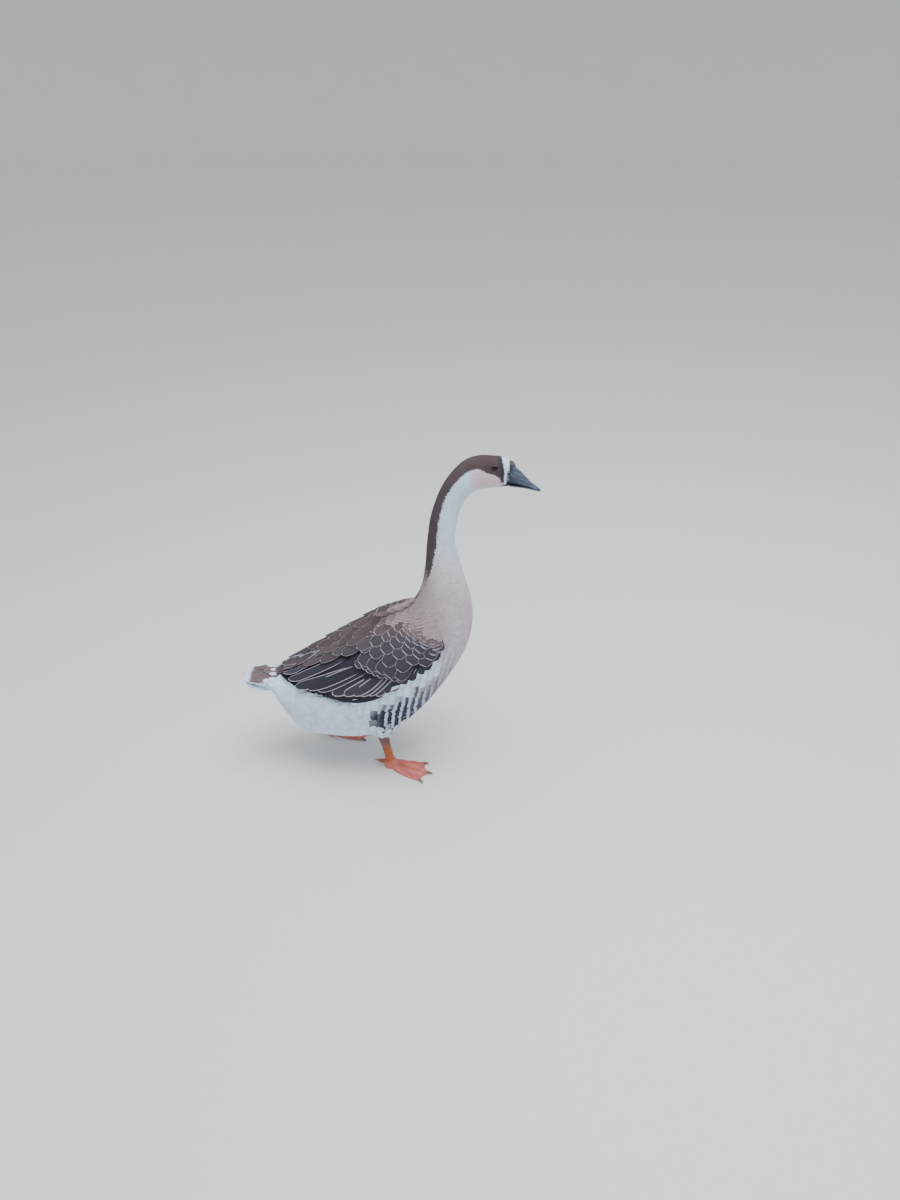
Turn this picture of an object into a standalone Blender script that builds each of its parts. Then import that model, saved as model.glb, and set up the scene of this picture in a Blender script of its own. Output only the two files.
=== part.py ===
"""A Chinese goose, life size, standing with its neck arched and one foot ahead of the other.

The bird faces +X, its left side is +Y and +Z is up. It stands on Z = 0. Metres throughout.
Tail, trunk, neck and head are one flowing body of cross sections, parted with thin cuts.
Wings, thighs and bill are laid against that body, and each leg ends in a webbed foot.
"""

import math

import bpy
import bmesh
from mathutils import Vector

GAP = 0.0003
FIT_GAP = 0.0005
BODY_SIDES = 30

# Sections of the body from the tail tip to the root of the bill. Each has its top and bottom points (x, z),
# its half width, how high its widest level lies (0 bottom, 1 top) and how square it is (2 is an ellipse).
SECTIONS = [
    ("tail tip", (-0.3120, 0.2290), (-0.3120, 0.2266), 0.014, 0.5, 2.0),
    ("tail vane", (-0.3050, 0.2300), (-0.3050, 0.2250), 0.028, 0.5, 2.0),
    ("tail middle", (-0.2830, 0.2310), (-0.2820, 0.2200), 0.036, 0.6, 2.0),
    ("tail root", (-0.2540, 0.2330), (-0.2500, 0.2010), 0.040, 0.6, 2.0),
    ("vent", (-0.2230, 0.2420), (-0.2230, 0.1370), 0.055, 0.57, 2.0),
    ("rump", (-0.1930, 0.2560), (-0.1790, 0.0945), 0.075, 0.515, 2.15),
    ("rear belly", (-0.1600, 0.2780), (-0.1150, 0.0850), 0.090, 0.5, 2.2),
    ("belly", (-0.1180, 0.3040), (-0.0470, 0.0865), 0.099, 0.5, 2.2),
    ("hips", (-0.0710, 0.3330), (0.0226, 0.1095), 0.103, 0.525, 2.2),
    ("ribs", (-0.0240, 0.3640), (0.0812, 0.1660), 0.102, 0.535, 2.25),
    ("shoulders", (0.0180, 0.3850), (0.1325, 0.2370), 0.095, 0.52, 2.15),
    ("breast", (0.0480, 0.4000), (0.1695, 0.3060), 0.082, 0.48, 2.05),
    ("upper breast", (0.0680, 0.4270), (0.1840, 0.3670), 0.067, 0.46, 2.0),
    ("neck root", (0.0800, 0.4600), (0.1800, 0.4250), 0.051, 0.5, 2.0),
    ("low neck", (0.0868, 0.5000), (0.1640, 0.4850), 0.0370, 0.5, 2.0),
    ("mid neck", (0.0910, 0.5520), (0.1480, 0.5500), 0.0280, 0.5, 2.0),
    ("high neck", (0.0990, 0.6115), (0.1515, 0.6060), 0.0260, 0.5, 2.0),
    ("arch", (0.1160, 0.6640), (0.1620, 0.6400), 0.0250, 0.5, 2.0),
    ("nape", (0.1370, 0.7005), (0.1740, 0.6580), 0.0245, 0.5, 2.0),
    ("back of head", (0.1625, 0.7270), (0.1880, 0.6680), 0.0240, 0.5, 2.0),
    ("cheek", (0.1900, 0.7380), (0.2010, 0.6720), 0.0235, 0.48, 2.1),
    ("eye", (0.2210, 0.7375), (0.2210, 0.6745), 0.0222, 0.46, 2.2),
    ("brow", (0.2390, 0.7350), (0.2390, 0.6765), 0.0190, 0.43, 2.2),
    ("bill root", (0.2500, 0.7300), (0.2500, 0.6782), 0.0165, 0.42, 2.2),
]
STATION = {section[0]: number for number, section in enumerate(SECTIONS)}

# Lengths of the body between thin cuts: node, first station, last station, rings
LENGTHS = [
    ("tail", STATION["tail tip"], STATION["tail root"], 7),
    ("trunk", STATION["tail root"], STATION["neck root"], 22),
    ("neck_lower", STATION["neck root"], STATION["mid neck"], 5),
    ("neck_middle", STATION["mid neck"], STATION["arch"], 5),
    ("neck_upper", STATION["arch"], STATION["back of head"], 5),
    ("head", STATION["back of head"], STATION["bill root"], 10),
]

# Bill: upper and lower mandible as sections along X, each with top, bottom and half width
BILL_UPPER = [
    (0.2503, 0.7250, 0.6855, 0.0158),
    (0.2590, 0.7185, 0.6845, 0.0152),
    (0.2690, 0.7095, 0.6830, 0.0146),
    (0.2790, 0.6995, 0.6810, 0.0140),
    (0.2870, 0.6900, 0.6790, 0.0134),
    (0.2935, 0.6825, 0.6762, 0.0126),
    (0.3010, 0.6765, 0.6722, 0.0113),
    (0.3080, 0.6715, 0.6678, 0.0085),
    (0.3115, 0.6690, 0.6665, 0.0035),
]
BILL_LOWER = [
    (0.2503, 0.6852, 0.6775, 0.0140),
    (0.2620, 0.6837, 0.6760, 0.0133),
    (0.2790, 0.6806, 0.6735, 0.0124),
    (0.2920, 0.6759, 0.6708, 0.0110),
    (0.3010, 0.6715, 0.6685, 0.0092),
    (0.3065, 0.6683, 0.6664, 0.0050),
]
BILL_WIDEST_LEVEL = 0.14
BILL_SQUARENESS = 0.85
BILL_SIDES = 18
KNOB_CENTRE = Vector((0.2520, 0.0, 0.7120))
KNOB_RADII = Vector((0.0112, 0.0122, 0.0168))
KNOB_SEGMENTS = 18
KNOB_RINGS = 9

EYE_X = 0.2215
EYE_Z = 0.7205
EYE_RADIUS = 0.0075
EYE_STANDS_OUT = 0.0016
EYE_SEGMENTS = 16
EYE_RINGS = 9

# Folded wing: where it starts and ends along the body, in stations, and its borders as degrees round the body
WING_FRONT = 11.6
WING_REAR = 3.4
WING_TOP_FRONT = 44.0
WING_TOP_REAR = 8.0
WING_LOW_FRONT = 106.0
WING_LOW_REAR = 20.0
WING_ROUND_FRONT = 0.13
WING_ROUND_REAR = 0.10
WING_STEPS_LONG = 18
WING_STEPS_WIDE = 8
WING_TOP_SETTLES = 0.45
WING_TOP_CURVE = 1.2
WING_LOW_CURVE = 1.6
WING_MIDDLE = 0.45
WING_NARROWEST = 0.15
WING_DEEPEST = 0.0100
WING_EDGE = 0.0022
WING_SWELL_ACROSS = (0.06, 0.82, 0.7)
WING_SWELL_ALONG = (0.05, 0.90, 0.5)
WING_TIP_STANDS_OFF = 0.0030
WING_SUNK = 0.0030

# Legs: hock, ankle and the heading of the toes for the right (-Y) and left (+Y) side
LEGS = {
    "right": {"hock": (-0.014, -0.050, 0.105), "ankle": (0.0010, -0.040, 0.0215), "turn": -18.0, "side": -1},
    "left": {"hock": (-0.090, 0.060, 0.105), "ankle": (-0.142, 0.072, 0.0215), "turn": 0.0, "side": 1},
}
SHANK_SIDES = 12
SHANK_RADII = [(0.0104, 0.0088), (0.0098, 0.0078), (0.0104, 0.0080), (0.0126, 0.0094), (0.0146, 0.0110)]
CUFF_RADIUS = 0.0160
THIGH_TOP_RISE = 0.085
THIGH_TOP_BACK = 0.020
THIGH_TOP_OUT = 0.030
THIGH_RADIUS = 0.033
THIGH_SHAPE = [(0.0, 0.15), (0.12, 0.55), (0.30, 0.85), (0.52, 0.92), (0.74, 0.76), (0.89, 0.59)]
THIGH_SIDES = 18

# Foot: each front toe has its heading from the middle toe, length and half width
TOES = {"inner": (-20.0, 0.0800, 0.0048), "middle": (0.0, 0.0940, 0.0052), "outer": (20.0, 0.0890, 0.0048)}
FOOT_COLUMNS = 34
FOOT_RINGS = 8
WEB_THICKNESS = 0.0026
WEB_SCALLOP = 0.08
WEB_ARCH = 0.0120
WEB_ARCH_REACH = 0.072
WEB_SIDE_ANGLE = 17.0
WEB_SIDE_CURVE = 1.1
FOOT_CROWDING = 1.25
FOOT_EDGE_SHARE = 0.985
FOOT_EDGE_HEIGHT = 0.0011
FOOT_SPREAD = 60.0
FOOT_HEEL_COLUMNS = 8
HEEL_RADIUS = 0.0130
FOOT_STUMP_RADIUS = 0.0094
FOOT_STUMP_TOP = 0.0210
FOOT_STUMP_SLOPE = 0.016
TOE_HEIGHT_ROOT = 0.0190
TOE_HEIGHT_TIP = 0.0062
TOE_TIP_DROP = 0.45
TOE_ROUNDNESS = 1.4
KNUCKLE_RISE = 0.0012
KNUCKLES = 3
CLAW_LENGTH = 0.0085
CLAW_RADIUS = 0.0026
CLAW_START_HEIGHT = 0.0032
CLAW_TIP_HEIGHT = 0.0012
CLAW_TIP_RADIUS = 0.0006
CLAW_ARCH = 0.0007
HIND_TOE_LENGTH = 0.017
HIND_TOE_RADIUS = 0.0040
HIND_TOE_ROOT_HEIGHT = 0.0090
HIND_TOE_TIP_HEIGHT = 0.0062


def clear_scene():
    """Remove what a new file holds."""
    for item in list(bpy.data.objects):
        bpy.data.objects.remove(item, do_unlink=True)


def material(name, colour, roughness):
    """A plain Principled finish."""
    finish = bpy.data.materials.get(name)
    if finish is None:
        finish = bpy.data.materials.new(name)
        finish.use_nodes = True
        shader = finish.node_tree.nodes["Principled BSDF"]
        shader.inputs["Base Color"].default_value = (*colour, 1.0)
        shader.inputs["Roughness"].default_value = roughness
        shader.inputs["Metallic"].default_value = 0.0
    return finish


def feather_brown():
    return material("brown_feathers", (0.13, 0.10, 0.10), 0.9)


def feather_buff():
    return material("buff_feathers", (0.47, 0.38, 0.36), 0.9)


def feather_white():
    return material("white_feathers", (0.80, 0.80, 0.80), 0.9)


def horn_dark():
    return material("dark_bill", (0.035, 0.038, 0.050), 0.45)


def eye_finish():
    return material("eye", (0.03, 0.015, 0.01), 0.08)


def orange_skin():
    return material("orange_skin", (0.65, 0.16, 0.06), 0.55)


def claw_finish():
    return material("claw", (0.20, 0.14, 0.11), 0.4)


def add_object(name, mesh_maker, finish):
    """Put a bmesh into the scene under its node's name, shaded smooth with sharp cut edges."""
    mesh = bpy.data.meshes.new(name)
    bmesh.ops.recalc_face_normals(mesh_maker, faces=mesh_maker.faces)
    mesh_maker.to_mesh(mesh)
    mesh_maker.free()
    mesh.materials.append(finish)
    mesh.shade_smooth()
    mesh.set_sharp_from_angle(angle=math.radians(50))
    item = bpy.data.objects.new(name, mesh)
    bpy.context.scene.collection.objects.link(item)
    return item


def between(values, place):
    """A smooth curve through a list of numbers or vectors, read at a place counted in list steps."""
    last = len(values) - 1
    place = min(max(place, 0.0), float(last))
    step = min(int(place), last - 1)
    f = place - step
    here = values[step]
    after = values[step + 1]
    before = values[step - 1] if step > 0 else here * 2 - after
    beyond = values[step + 2] if step + 2 <= last else after * 2 - here
    return (here * 2 + (after - before) * f
            + (before * 2 - here * 5 + after * 4 - beyond) * f ** 2
            + (here * 3 - before - after * 3 + beyond) * f ** 3) * 0.5


TOPS = [Vector((s[1][0], 0.0, s[1][1])) for s in SECTIONS]
BOTTOMS = [Vector((s[2][0], 0.0, s[2][1])) for s in SECTIONS]
WIDTHS = [s[3] for s in SECTIONS]
LEVELS = [s[4] for s in SECTIONS]
SQUARES = [s[5] for s in SECTIONS]


def section_frame(place):
    """Middle, upward direction and forward direction of the body's section."""
    top = between(TOPS, place)
    bottom = between(BOTTOMS, place)
    up = (top - bottom).normalized()
    middle = bottom.lerp(top, between(LEVELS, place))
    return top, bottom, middle, up, Vector((up.z, 0.0, -up.x))


def skin_point(place, turn, grow=0.0):
    """A point of the body's surface: turn is 0 on the back, +90 degrees on the right flank, 180 on the belly."""
    top, bottom, middle, up, forward = section_frame(place)
    power = 2.0 / between(SQUARES, place)
    rise = math.cos(turn)
    out = math.sin(turn)
    depth = ((top - middle) if rise > 0 else (middle - bottom)).length + grow
    width = between(WIDTHS, place) + grow
    side = Vector((0.0, -1.0, 0.0))
    return (middle + up * (depth * math.copysign(abs(rise) ** power, rise))
            + side * (width * math.copysign(abs(out) ** power, out)))


def skin_normal(place, turn):
    """The direction straight out of the body's surface."""
    step = 0.02
    along = skin_point(place + step, turn) - skin_point(place - step, turn)
    around = skin_point(place, turn + step) - skin_point(place, turn - step)
    normal = around.cross(along)
    outward = skin_point(place, turn) - section_frame(place)[2]
    if normal.dot(outward) < 0:
        normal = -normal
    return normal.normalized()


def ring(shape, points):
    return [shape.verts.new(point) for point in points]


def bridge(shape, first, second):
    """Faces between two rings of the same count."""
    count = len(first)
    for i in range(count):
        j = (i + 1) % count
        shape.faces.new((first[i], first[j], second[j], second[i]))


def close_end(shape, loop):
    """A flat end with a middle vertex."""
    middle = shape.verts.new(sum((v.co for v in loop), Vector()) / len(loop))
    count = len(loop)
    for i in range(count):
        shape.faces.new((loop[i], loop[(i + 1) % count], middle))


def ring_places(first, last, rings):
    """Where the rings of one length of the body lie, in stations."""
    return [first + (last - first) * i / rings for i in range(rings + 1)]


def body_length(places, grow=0.0, end_gap=GAP / 2):
    """One length of the body between two cuts, as a closed shape."""
    shape = bmesh.new()
    loops = []
    for place in places:
        shift = Vector()
        forward = section_frame(place)[4]
        if place == places[0]:
            shift = forward * end_gap
        elif place == places[-1]:
            shift = forward * -end_gap
        turns = [math.tau * k / BODY_SIDES for k in range(BODY_SIDES)]
        loops.append(ring(shape, [skin_point(place, turn, grow) + shift for turn in turns]))
    for near, far in zip(loops, loops[1:]):
        bridge(shape, near, far)
    close_end(shape, loops[0])
    close_end(shape, loops[-1])
    return shape


def make_cutter(name, shape):
    """A hidden shape that cuts a visible one."""
    cutter = add_object(name, shape, horn_dark())
    cutter.hide_render = True
    cutter.display_type = "WIRE"
    return cutter


def cut(item, cutter):
    """Take the cutter's space out of an object."""
    boolean = item.modifiers.new("cut", "BOOLEAN")
    boolean.operation = "DIFFERENCE"
    boolean.solver = "EXACT"
    boolean.object = cutter


def ellipsoid(centre, radii, segments, rings):
    shape = bmesh.new()
    bmesh.ops.create_uvsphere(shape, u_segments=segments, v_segments=rings, radius=1.0)
    for v in shape.verts:
        v.co = Vector((v.co.x * radii[0], v.co.y * radii[1], v.co.z * radii[2])) + Vector(centre)
    return shape


def make_body():
    """Tail, trunk, three lengths of neck, and head."""
    finishes = {"tail": feather_white(), "trunk": feather_buff(), "head": feather_brown()}
    return {node: add_object(node, body_length(ring_places(first, last, rings)), finishes.get(node, feather_buff()))
            for node, first, last, rings in LENGTHS}


def body_cutter():
    """Tail, trunk and low neck in one, a gap larger all round, for fitting wings and legs to them."""
    places = sorted({place for node, first, last, rings in LENGTHS[:3] for place in ring_places(first, last, rings)})
    return make_cutter("body_cutter", body_length(places, FIT_GAP, 0.0))


def wing_turns(f):
    """Upper and lower border of the folded wing, as turns round the body, f from 0 in front to 1 at the tip."""
    settling = max(0.0, 1.0 - f / WING_TOP_SETTLES) ** WING_TOP_CURVE
    upper = WING_TOP_REAR + (WING_TOP_FRONT - WING_TOP_REAR) * settling
    lower = WING_LOW_FRONT + (WING_LOW_REAR - WING_LOW_FRONT) * f ** WING_LOW_CURVE
    front = math.sqrt(1.0 - (1.0 - min(f / WING_ROUND_FRONT, 1.0)) ** 2)
    rear = math.sqrt(1.0 - max(0.0, (f - 1.0 + WING_ROUND_REAR) / WING_ROUND_REAR) ** 2)
    width = max(front * rear, WING_NARROWEST)
    middle = upper + (lower - upper) * WING_MIDDLE
    return math.radians(middle + (upper - middle) * width), math.radians(middle + (lower - middle) * width)


def wing_depth(f, g):
    """How far the folded wing stands off the body: f from front to tip, g from the upper to the lower border."""
    start, span, power = WING_SWELL_ACROSS
    across = math.sin(math.pi * (start + span * g)) ** power
    start, span, power = WING_SWELL_ALONG
    along = math.sin(math.pi * (start + span * f)) ** power
    return WING_EDGE + (WING_DEEPEST - WING_EDGE) * across * along + WING_TIP_STANDS_OFF * f * g


def make_wing(side, cutter):
    """A folded wing lying along the flank, its tip over the root of the tail."""
    mirror = 1.0 if side == "right" else -1.0
    shape = bmesh.new()
    outer, inner = [], []
    for i in range(WING_STEPS_LONG + 1):
        f = i / WING_STEPS_LONG
        place = WING_FRONT + (WING_REAR - WING_FRONT) * f
        upper, lower = wing_turns(f)
        outer_row, inner_row = [], []
        for j in range(WING_STEPS_WIDE + 1):
            g = j / WING_STEPS_WIDE
            turn = upper + (lower - upper) * g
            point = skin_point(place, turn)
            normal = skin_normal(place, turn)
            for row, distance in ((outer_row, wing_depth(f, g)), (inner_row, -WING_SUNK)):
                p = point + normal * distance
                row.append(shape.verts.new((p.x, p.y * mirror, p.z)))
        outer.append(outer_row)
        inner.append(inner_row)
    for i in range(WING_STEPS_LONG):
        for j in range(WING_STEPS_WIDE):
            for rows in (outer, inner):
                shape.faces.new((rows[i][j], rows[i][j + 1], rows[i + 1][j + 1], rows[i + 1][j]))
        for j in (0, WING_STEPS_WIDE):
            shape.faces.new((outer[i][j], outer[i + 1][j], inner[i + 1][j], inner[i][j]))
    for i in (0, WING_STEPS_LONG):
        for j in range(WING_STEPS_WIDE):
            shape.faces.new((outer[i][j], outer[i][j + 1], inner[i][j + 1], inner[i][j]))
    wing = add_object("wing_" + side, shape, feather_brown())
    cut(wing, cutter)
    return wing


def bill_half(name, sections):
    """One mandible: arched sections with a flat underside or top, widest near the mouth line."""
    shape = bmesh.new()
    loops = []
    for x, top, bottom, width in sections:
        points = []
        for k in range(BILL_SIDES):
            turn = math.tau * k / BILL_SIDES
            rise, out = math.cos(turn), math.sin(turn)
            level = BILL_WIDEST_LEVEL if name == "bill_upper" else 1.0 - BILL_WIDEST_LEVEL
            middle = bottom + (top - bottom) * level
            depth = (top - middle) if rise > 0 else (middle - bottom)
            points.append((x, -width * math.copysign(abs(out) ** BILL_SQUARENESS, out), middle + depth * rise))
        loops.append(ring(shape, points))
    for near, far in zip(loops, loops[1:]):
        bridge(shape, near, far)
    close_end(shape, loops[0])
    close_end(shape, loops[-1])
    return add_object(name, shape, horn_dark())


def make_bill():
    """Both mandibles and the knob on the forehead end of the upper one."""
    upper = bill_half("bill_upper", BILL_UPPER)
    bill_half("bill_lower", BILL_LOWER)
    grown = [r + GAP for r in KNOB_RADII]
    cut(upper, make_cutter("knob_cutter", ellipsoid(KNOB_CENTRE, grown, KNOB_SEGMENTS, KNOB_RINGS)))
    knob = ellipsoid(KNOB_CENTRE, KNOB_RADII, KNOB_SEGMENTS, KNOB_RINGS)
    root = BILL_UPPER[0][0]
    below = bmesh.ops.bisect_plane(knob, geom=knob.verts[:] + knob.edges[:] + knob.faces[:],
                                   plane_co=(root, 0, 0), plane_no=(-1, 0, 0), clear_outer=True)
    bmesh.ops.contextual_create(knob, geom=[e for e in below["geom_cut"] if isinstance(e, bmesh.types.BMEdge)])
    add_object("knob", knob, horn_dark())


def make_eyes(head):
    """Eyeballs set into sockets in the sides of the head."""
    for side, sign in (("right", -1), ("left", 1)):
        half = head_half_width(EYE_X, EYE_Z)
        centre = (EYE_X, sign * (half - EYE_RADIUS + EYE_STANDS_OUT), EYE_Z)
        socket = ellipsoid(centre, [EYE_RADIUS + GAP] * 3, EYE_SEGMENTS, EYE_RINGS)
        cut(head, make_cutter("socket_cutter_" + side, socket))
        add_object("eye_" + side, ellipsoid(centre, [EYE_RADIUS] * 3, EYE_SEGMENTS, EYE_RINGS), eye_finish())


def head_half_width(x, z):
    """Half width of the head at a place in its side view."""
    best = None
    for i in range(120):
        place = STATION["cheek"] + (STATION["bill root"] - STATION["cheek"]) * i / 119
        for k in range(60):
            point = skin_point(place, math.pi * k / 59)
            miss = (point.x - x) ** 2 + (point.z - z) ** 2
            if best is None or miss < best[0]:
                best = (miss, -point.y)
    return best[1]


def upright_tube(points, radii, sides):
    """A closed tapered tube of level rings; each radius pair is fore-aft and sideways."""
    shape = bmesh.new()
    loops = []
    for point, (long_radius, wide_radius) in zip(points, radii):
        turns = [math.tau * k / sides for k in range(sides)]
        loops.append(ring(shape, [point + Vector((long_radius * math.cos(turn), wide_radius * math.sin(turn), 0.0))
                                  for turn in turns]))
    for near, far in zip(loops, loops[1:]):
        bridge(shape, near, far)
    close_end(shape, loops[0])
    close_end(shape, loops[-1])
    return shape


def make_thigh(side, leg, cutter):
    """The feathered thigh: a drumstick bulging from the flank, ending in a cuff round the hock."""
    hock = Vector(leg["hock"])
    root = hock + Vector((THIGH_TOP_BACK, leg["side"] * THIGH_TOP_OUT, THIGH_TOP_RISE))
    points = [root.lerp(hock, f) for f, size in THIGH_SHAPE] + [hock]
    radii = [(THIGH_RADIUS * size,) * 2 for f, size in THIGH_SHAPE] + [(CUFF_RADIUS,) * 2]
    thigh = add_object("thigh_" + side, upright_tube(points, radii, THIGH_SIDES), feather_white())
    cut(thigh, cutter)
    return thigh


def make_shank(side, leg, cutter):
    """The bare scaly shank from the cuff of feathers to the ankle."""
    top = Vector(leg["hock"]) - Vector((0.0, 0.0, GAP))
    low = Vector(leg["ankle"])
    count = len(SHANK_RADII)
    points = [low.lerp(top, i / (count - 1)) for i in range(count)]
    shank = add_object("shank_" + side, upright_tube(points, SHANK_RADII, SHANK_SIDES), orange_skin())
    cut(shank, cutter)
    return shank


def web_height(r):
    """Height of the web, arched up towards the ankle."""
    return WEB_THICKNESS + WEB_ARCH * max(0.0, 1.0 - r / WEB_ARCH_REACH) ** 1.5


def toe_ridge(angle, r):
    """Height added to the web by the toes, at a heading and a distance from the ankle."""
    height = 0.0
    for heading, length, half in TOES.values():
        across = r * math.sin(math.radians(angle - heading))
        along = r * math.cos(math.radians(angle - heading)) / length
        if abs(angle - heading) > 80 or along > 1.0:
            continue
        rise = TOE_HEIGHT_ROOT + (TOE_HEIGHT_TIP - TOE_HEIGHT_ROOT) * along
        rise += KNUCKLE_RISE * math.cos(math.tau * KNUCKLES * along)
        height = max(height, (rise - web_height(r)) * math.exp(-(across / half) ** 2 * TOE_ROUNDNESS))
    return height


def foot_reach(angle):
    """Distance from the ankle to the foot's edge at a heading: toe tips, hollow webs between, round heel."""
    headings = sorted((heading, length) for heading, length, half in TOES.values())
    first, last = headings[0], headings[-1]
    if angle <= first[0] or angle >= last[0]:
        heading, length = first if angle <= first[0] else last
        beyond = abs(angle - heading)
        return max(HEEL_RADIUS, length * math.exp(-(beyond / WEB_SIDE_ANGLE) ** WEB_SIDE_CURVE))
    for (a, reach_a), (b, reach_b) in zip(headings, headings[1:]):
        if a <= angle <= b:
            f = (angle - a) / (b - a)
            straight = reach_a + (reach_b - reach_a) * f
            return straight * (1.0 - WEB_SCALLOP * math.sin(math.pi * f) ** 0.8)
    return HEEL_RADIUS


def foot_place(leg, angle, r, z):
    """A point of the foot from its heading and distance; outer toes lie away from the other leg."""
    ankle = leg["ankle"]
    heading = math.radians(leg["turn"]) + leg["side"] * math.radians(angle)
    return Vector((ankle[0] + r * math.cos(heading), ankle[1] + r * math.sin(heading), z))


def foot_headings():
    """Headings all round the ankle, close together over the toes and wide apart at the heel."""
    front = FOOT_COLUMNS - FOOT_HEEL_COLUMNS
    toes = [-FOOT_SPREAD + 2 * FOOT_SPREAD * i / (front - 1) for i in range(front)]
    behind = (360.0 - 2 * FOOT_SPREAD) / (FOOT_HEEL_COLUMNS + 1)
    return toes + [FOOT_SPREAD + behind * (i + 1) for i in range(FOOT_HEEL_COLUMNS)]


def foot_edge(angle):
    """Distance to the foot's edge at a heading from 0 to 360 degrees."""
    return foot_reach(angle if angle <= 180 else angle - 360)


def make_foot(side, leg):
    """A webbed foot with a flat sole, three toes standing above the web and a stump for the ankle."""
    shape = bmesh.new()
    headings = foot_headings()
    top_loops = []
    for i in range(FOOT_RINGS + 1):
        f = (i / FOOT_RINGS) ** FOOT_CROWDING
        points = []
        for angle in headings:
            signed = angle if angle <= 180 else angle - 360
            r = FOOT_STUMP_RADIUS + (foot_edge(angle) * FOOT_EDGE_SHARE - FOOT_STUMP_RADIUS) * f
            slope = max(0.0, 1.0 - (r - FOOT_STUMP_RADIUS) / FOOT_STUMP_SLOPE)
            height = web_height(r) + toe_ridge(signed, r) * (1.0 - TOE_TIP_DROP * f ** 8)
            height = max(height, TOE_HEIGHT_ROOT * slope)
            height += (FOOT_STUMP_TOP - height) * slope ** 3
            if i == 0:
                height = FOOT_STUMP_TOP
            points.append(foot_place(leg, angle, r, height))
        top_loops.append(ring(shape, points))
    edge = ring(shape, [foot_place(leg, angle, foot_edge(angle), FOOT_EDGE_HEIGHT) for angle in headings])
    sole = ring(shape, [foot_place(leg, angle, foot_edge(angle) * FOOT_EDGE_SHARE, 0.0) for angle in headings])
    loops = top_loops + [edge, sole]
    for near, far in zip(loops, loops[1:]):
        bridge(shape, near, far)
    close_end(shape, top_loops[0])
    close_end(shape, sole)
    return add_object("foot_" + side, shape, orange_skin())


def make_claws(side, leg):
    """A short blunt claw in front of each toe, and the small hind toe with its own claw."""
    for toe, (heading, length, half) in TOES.items():
        start = foot_place(leg, heading, length + GAP, CLAW_START_HEIGHT)
        tip = foot_place(leg, heading, length + CLAW_LENGTH, CLAW_TIP_HEIGHT)
        middle = start.lerp(tip, 0.55) + Vector((0.0, 0.0, CLAW_ARCH))
        radii = [(CLAW_RADIUS,) * 2, (CLAW_RADIUS * 0.75,) * 2, (CLAW_TIP_RADIUS,) * 2]
        add_object(f"claw_{toe}_{side}", round_tube([start, middle, tip], radii, 8), claw_finish())
    start = foot_place(leg, 180.0, HEEL_RADIUS + GAP, HIND_TOE_ROOT_HEIGHT)
    tip = foot_place(leg, 180.0, HEEL_RADIUS + HIND_TOE_LENGTH, HIND_TOE_TIP_HEIGHT)
    radii = [(HIND_TOE_RADIUS * share,) * 2 for share in (1.0, 0.95, 0.6)]
    add_object("hind_toe_" + side, round_tube([start, start.lerp(tip, 0.5), tip], radii, 10), orange_skin())


def round_tube(points, radii, sides):
    """A tapered tube that lies flat, its rings upright."""
    shape = bmesh.new()
    axis = (points[-1] - points[0]).normalized()
    side = Vector((0.0, 0.0, 1.0)).cross(axis).normalized()
    up = Vector((0.0, 0.0, 1.0))
    loops = []
    for point, (tall, wide) in zip(points, radii):
        loops.append(ring(shape, [point + up * (tall * math.cos(math.tau * k / sides))
                                  + side * (wide * math.sin(math.tau * k / sides)) for k in range(sides)]))
    for near, far in zip(loops, loops[1:]):
        bridge(shape, near, far)
    close_end(shape, loops[0])
    close_end(shape, loops[-1])
    return shape


clear_scene()
body = make_body()
fitted = body_cutter()
for wing_side in ("right", "left"):
    make_wing(wing_side, fitted)
make_bill()
make_eyes(body["head"])
for leg_side, leg_sizes in LEGS.items():
    make_thigh(leg_side, leg_sizes, fitted)
    make_shank(leg_side, leg_sizes, fitted)
    make_foot(leg_side, leg_sizes)
    make_claws(leg_side, leg_sizes)
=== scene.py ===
"""How the Chinese goose looks: skin, plumage, eyes, bill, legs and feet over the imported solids.

The bird faces +X, its left side is +Y and +Z is up. Metres throughout.
"""

import math

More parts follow.
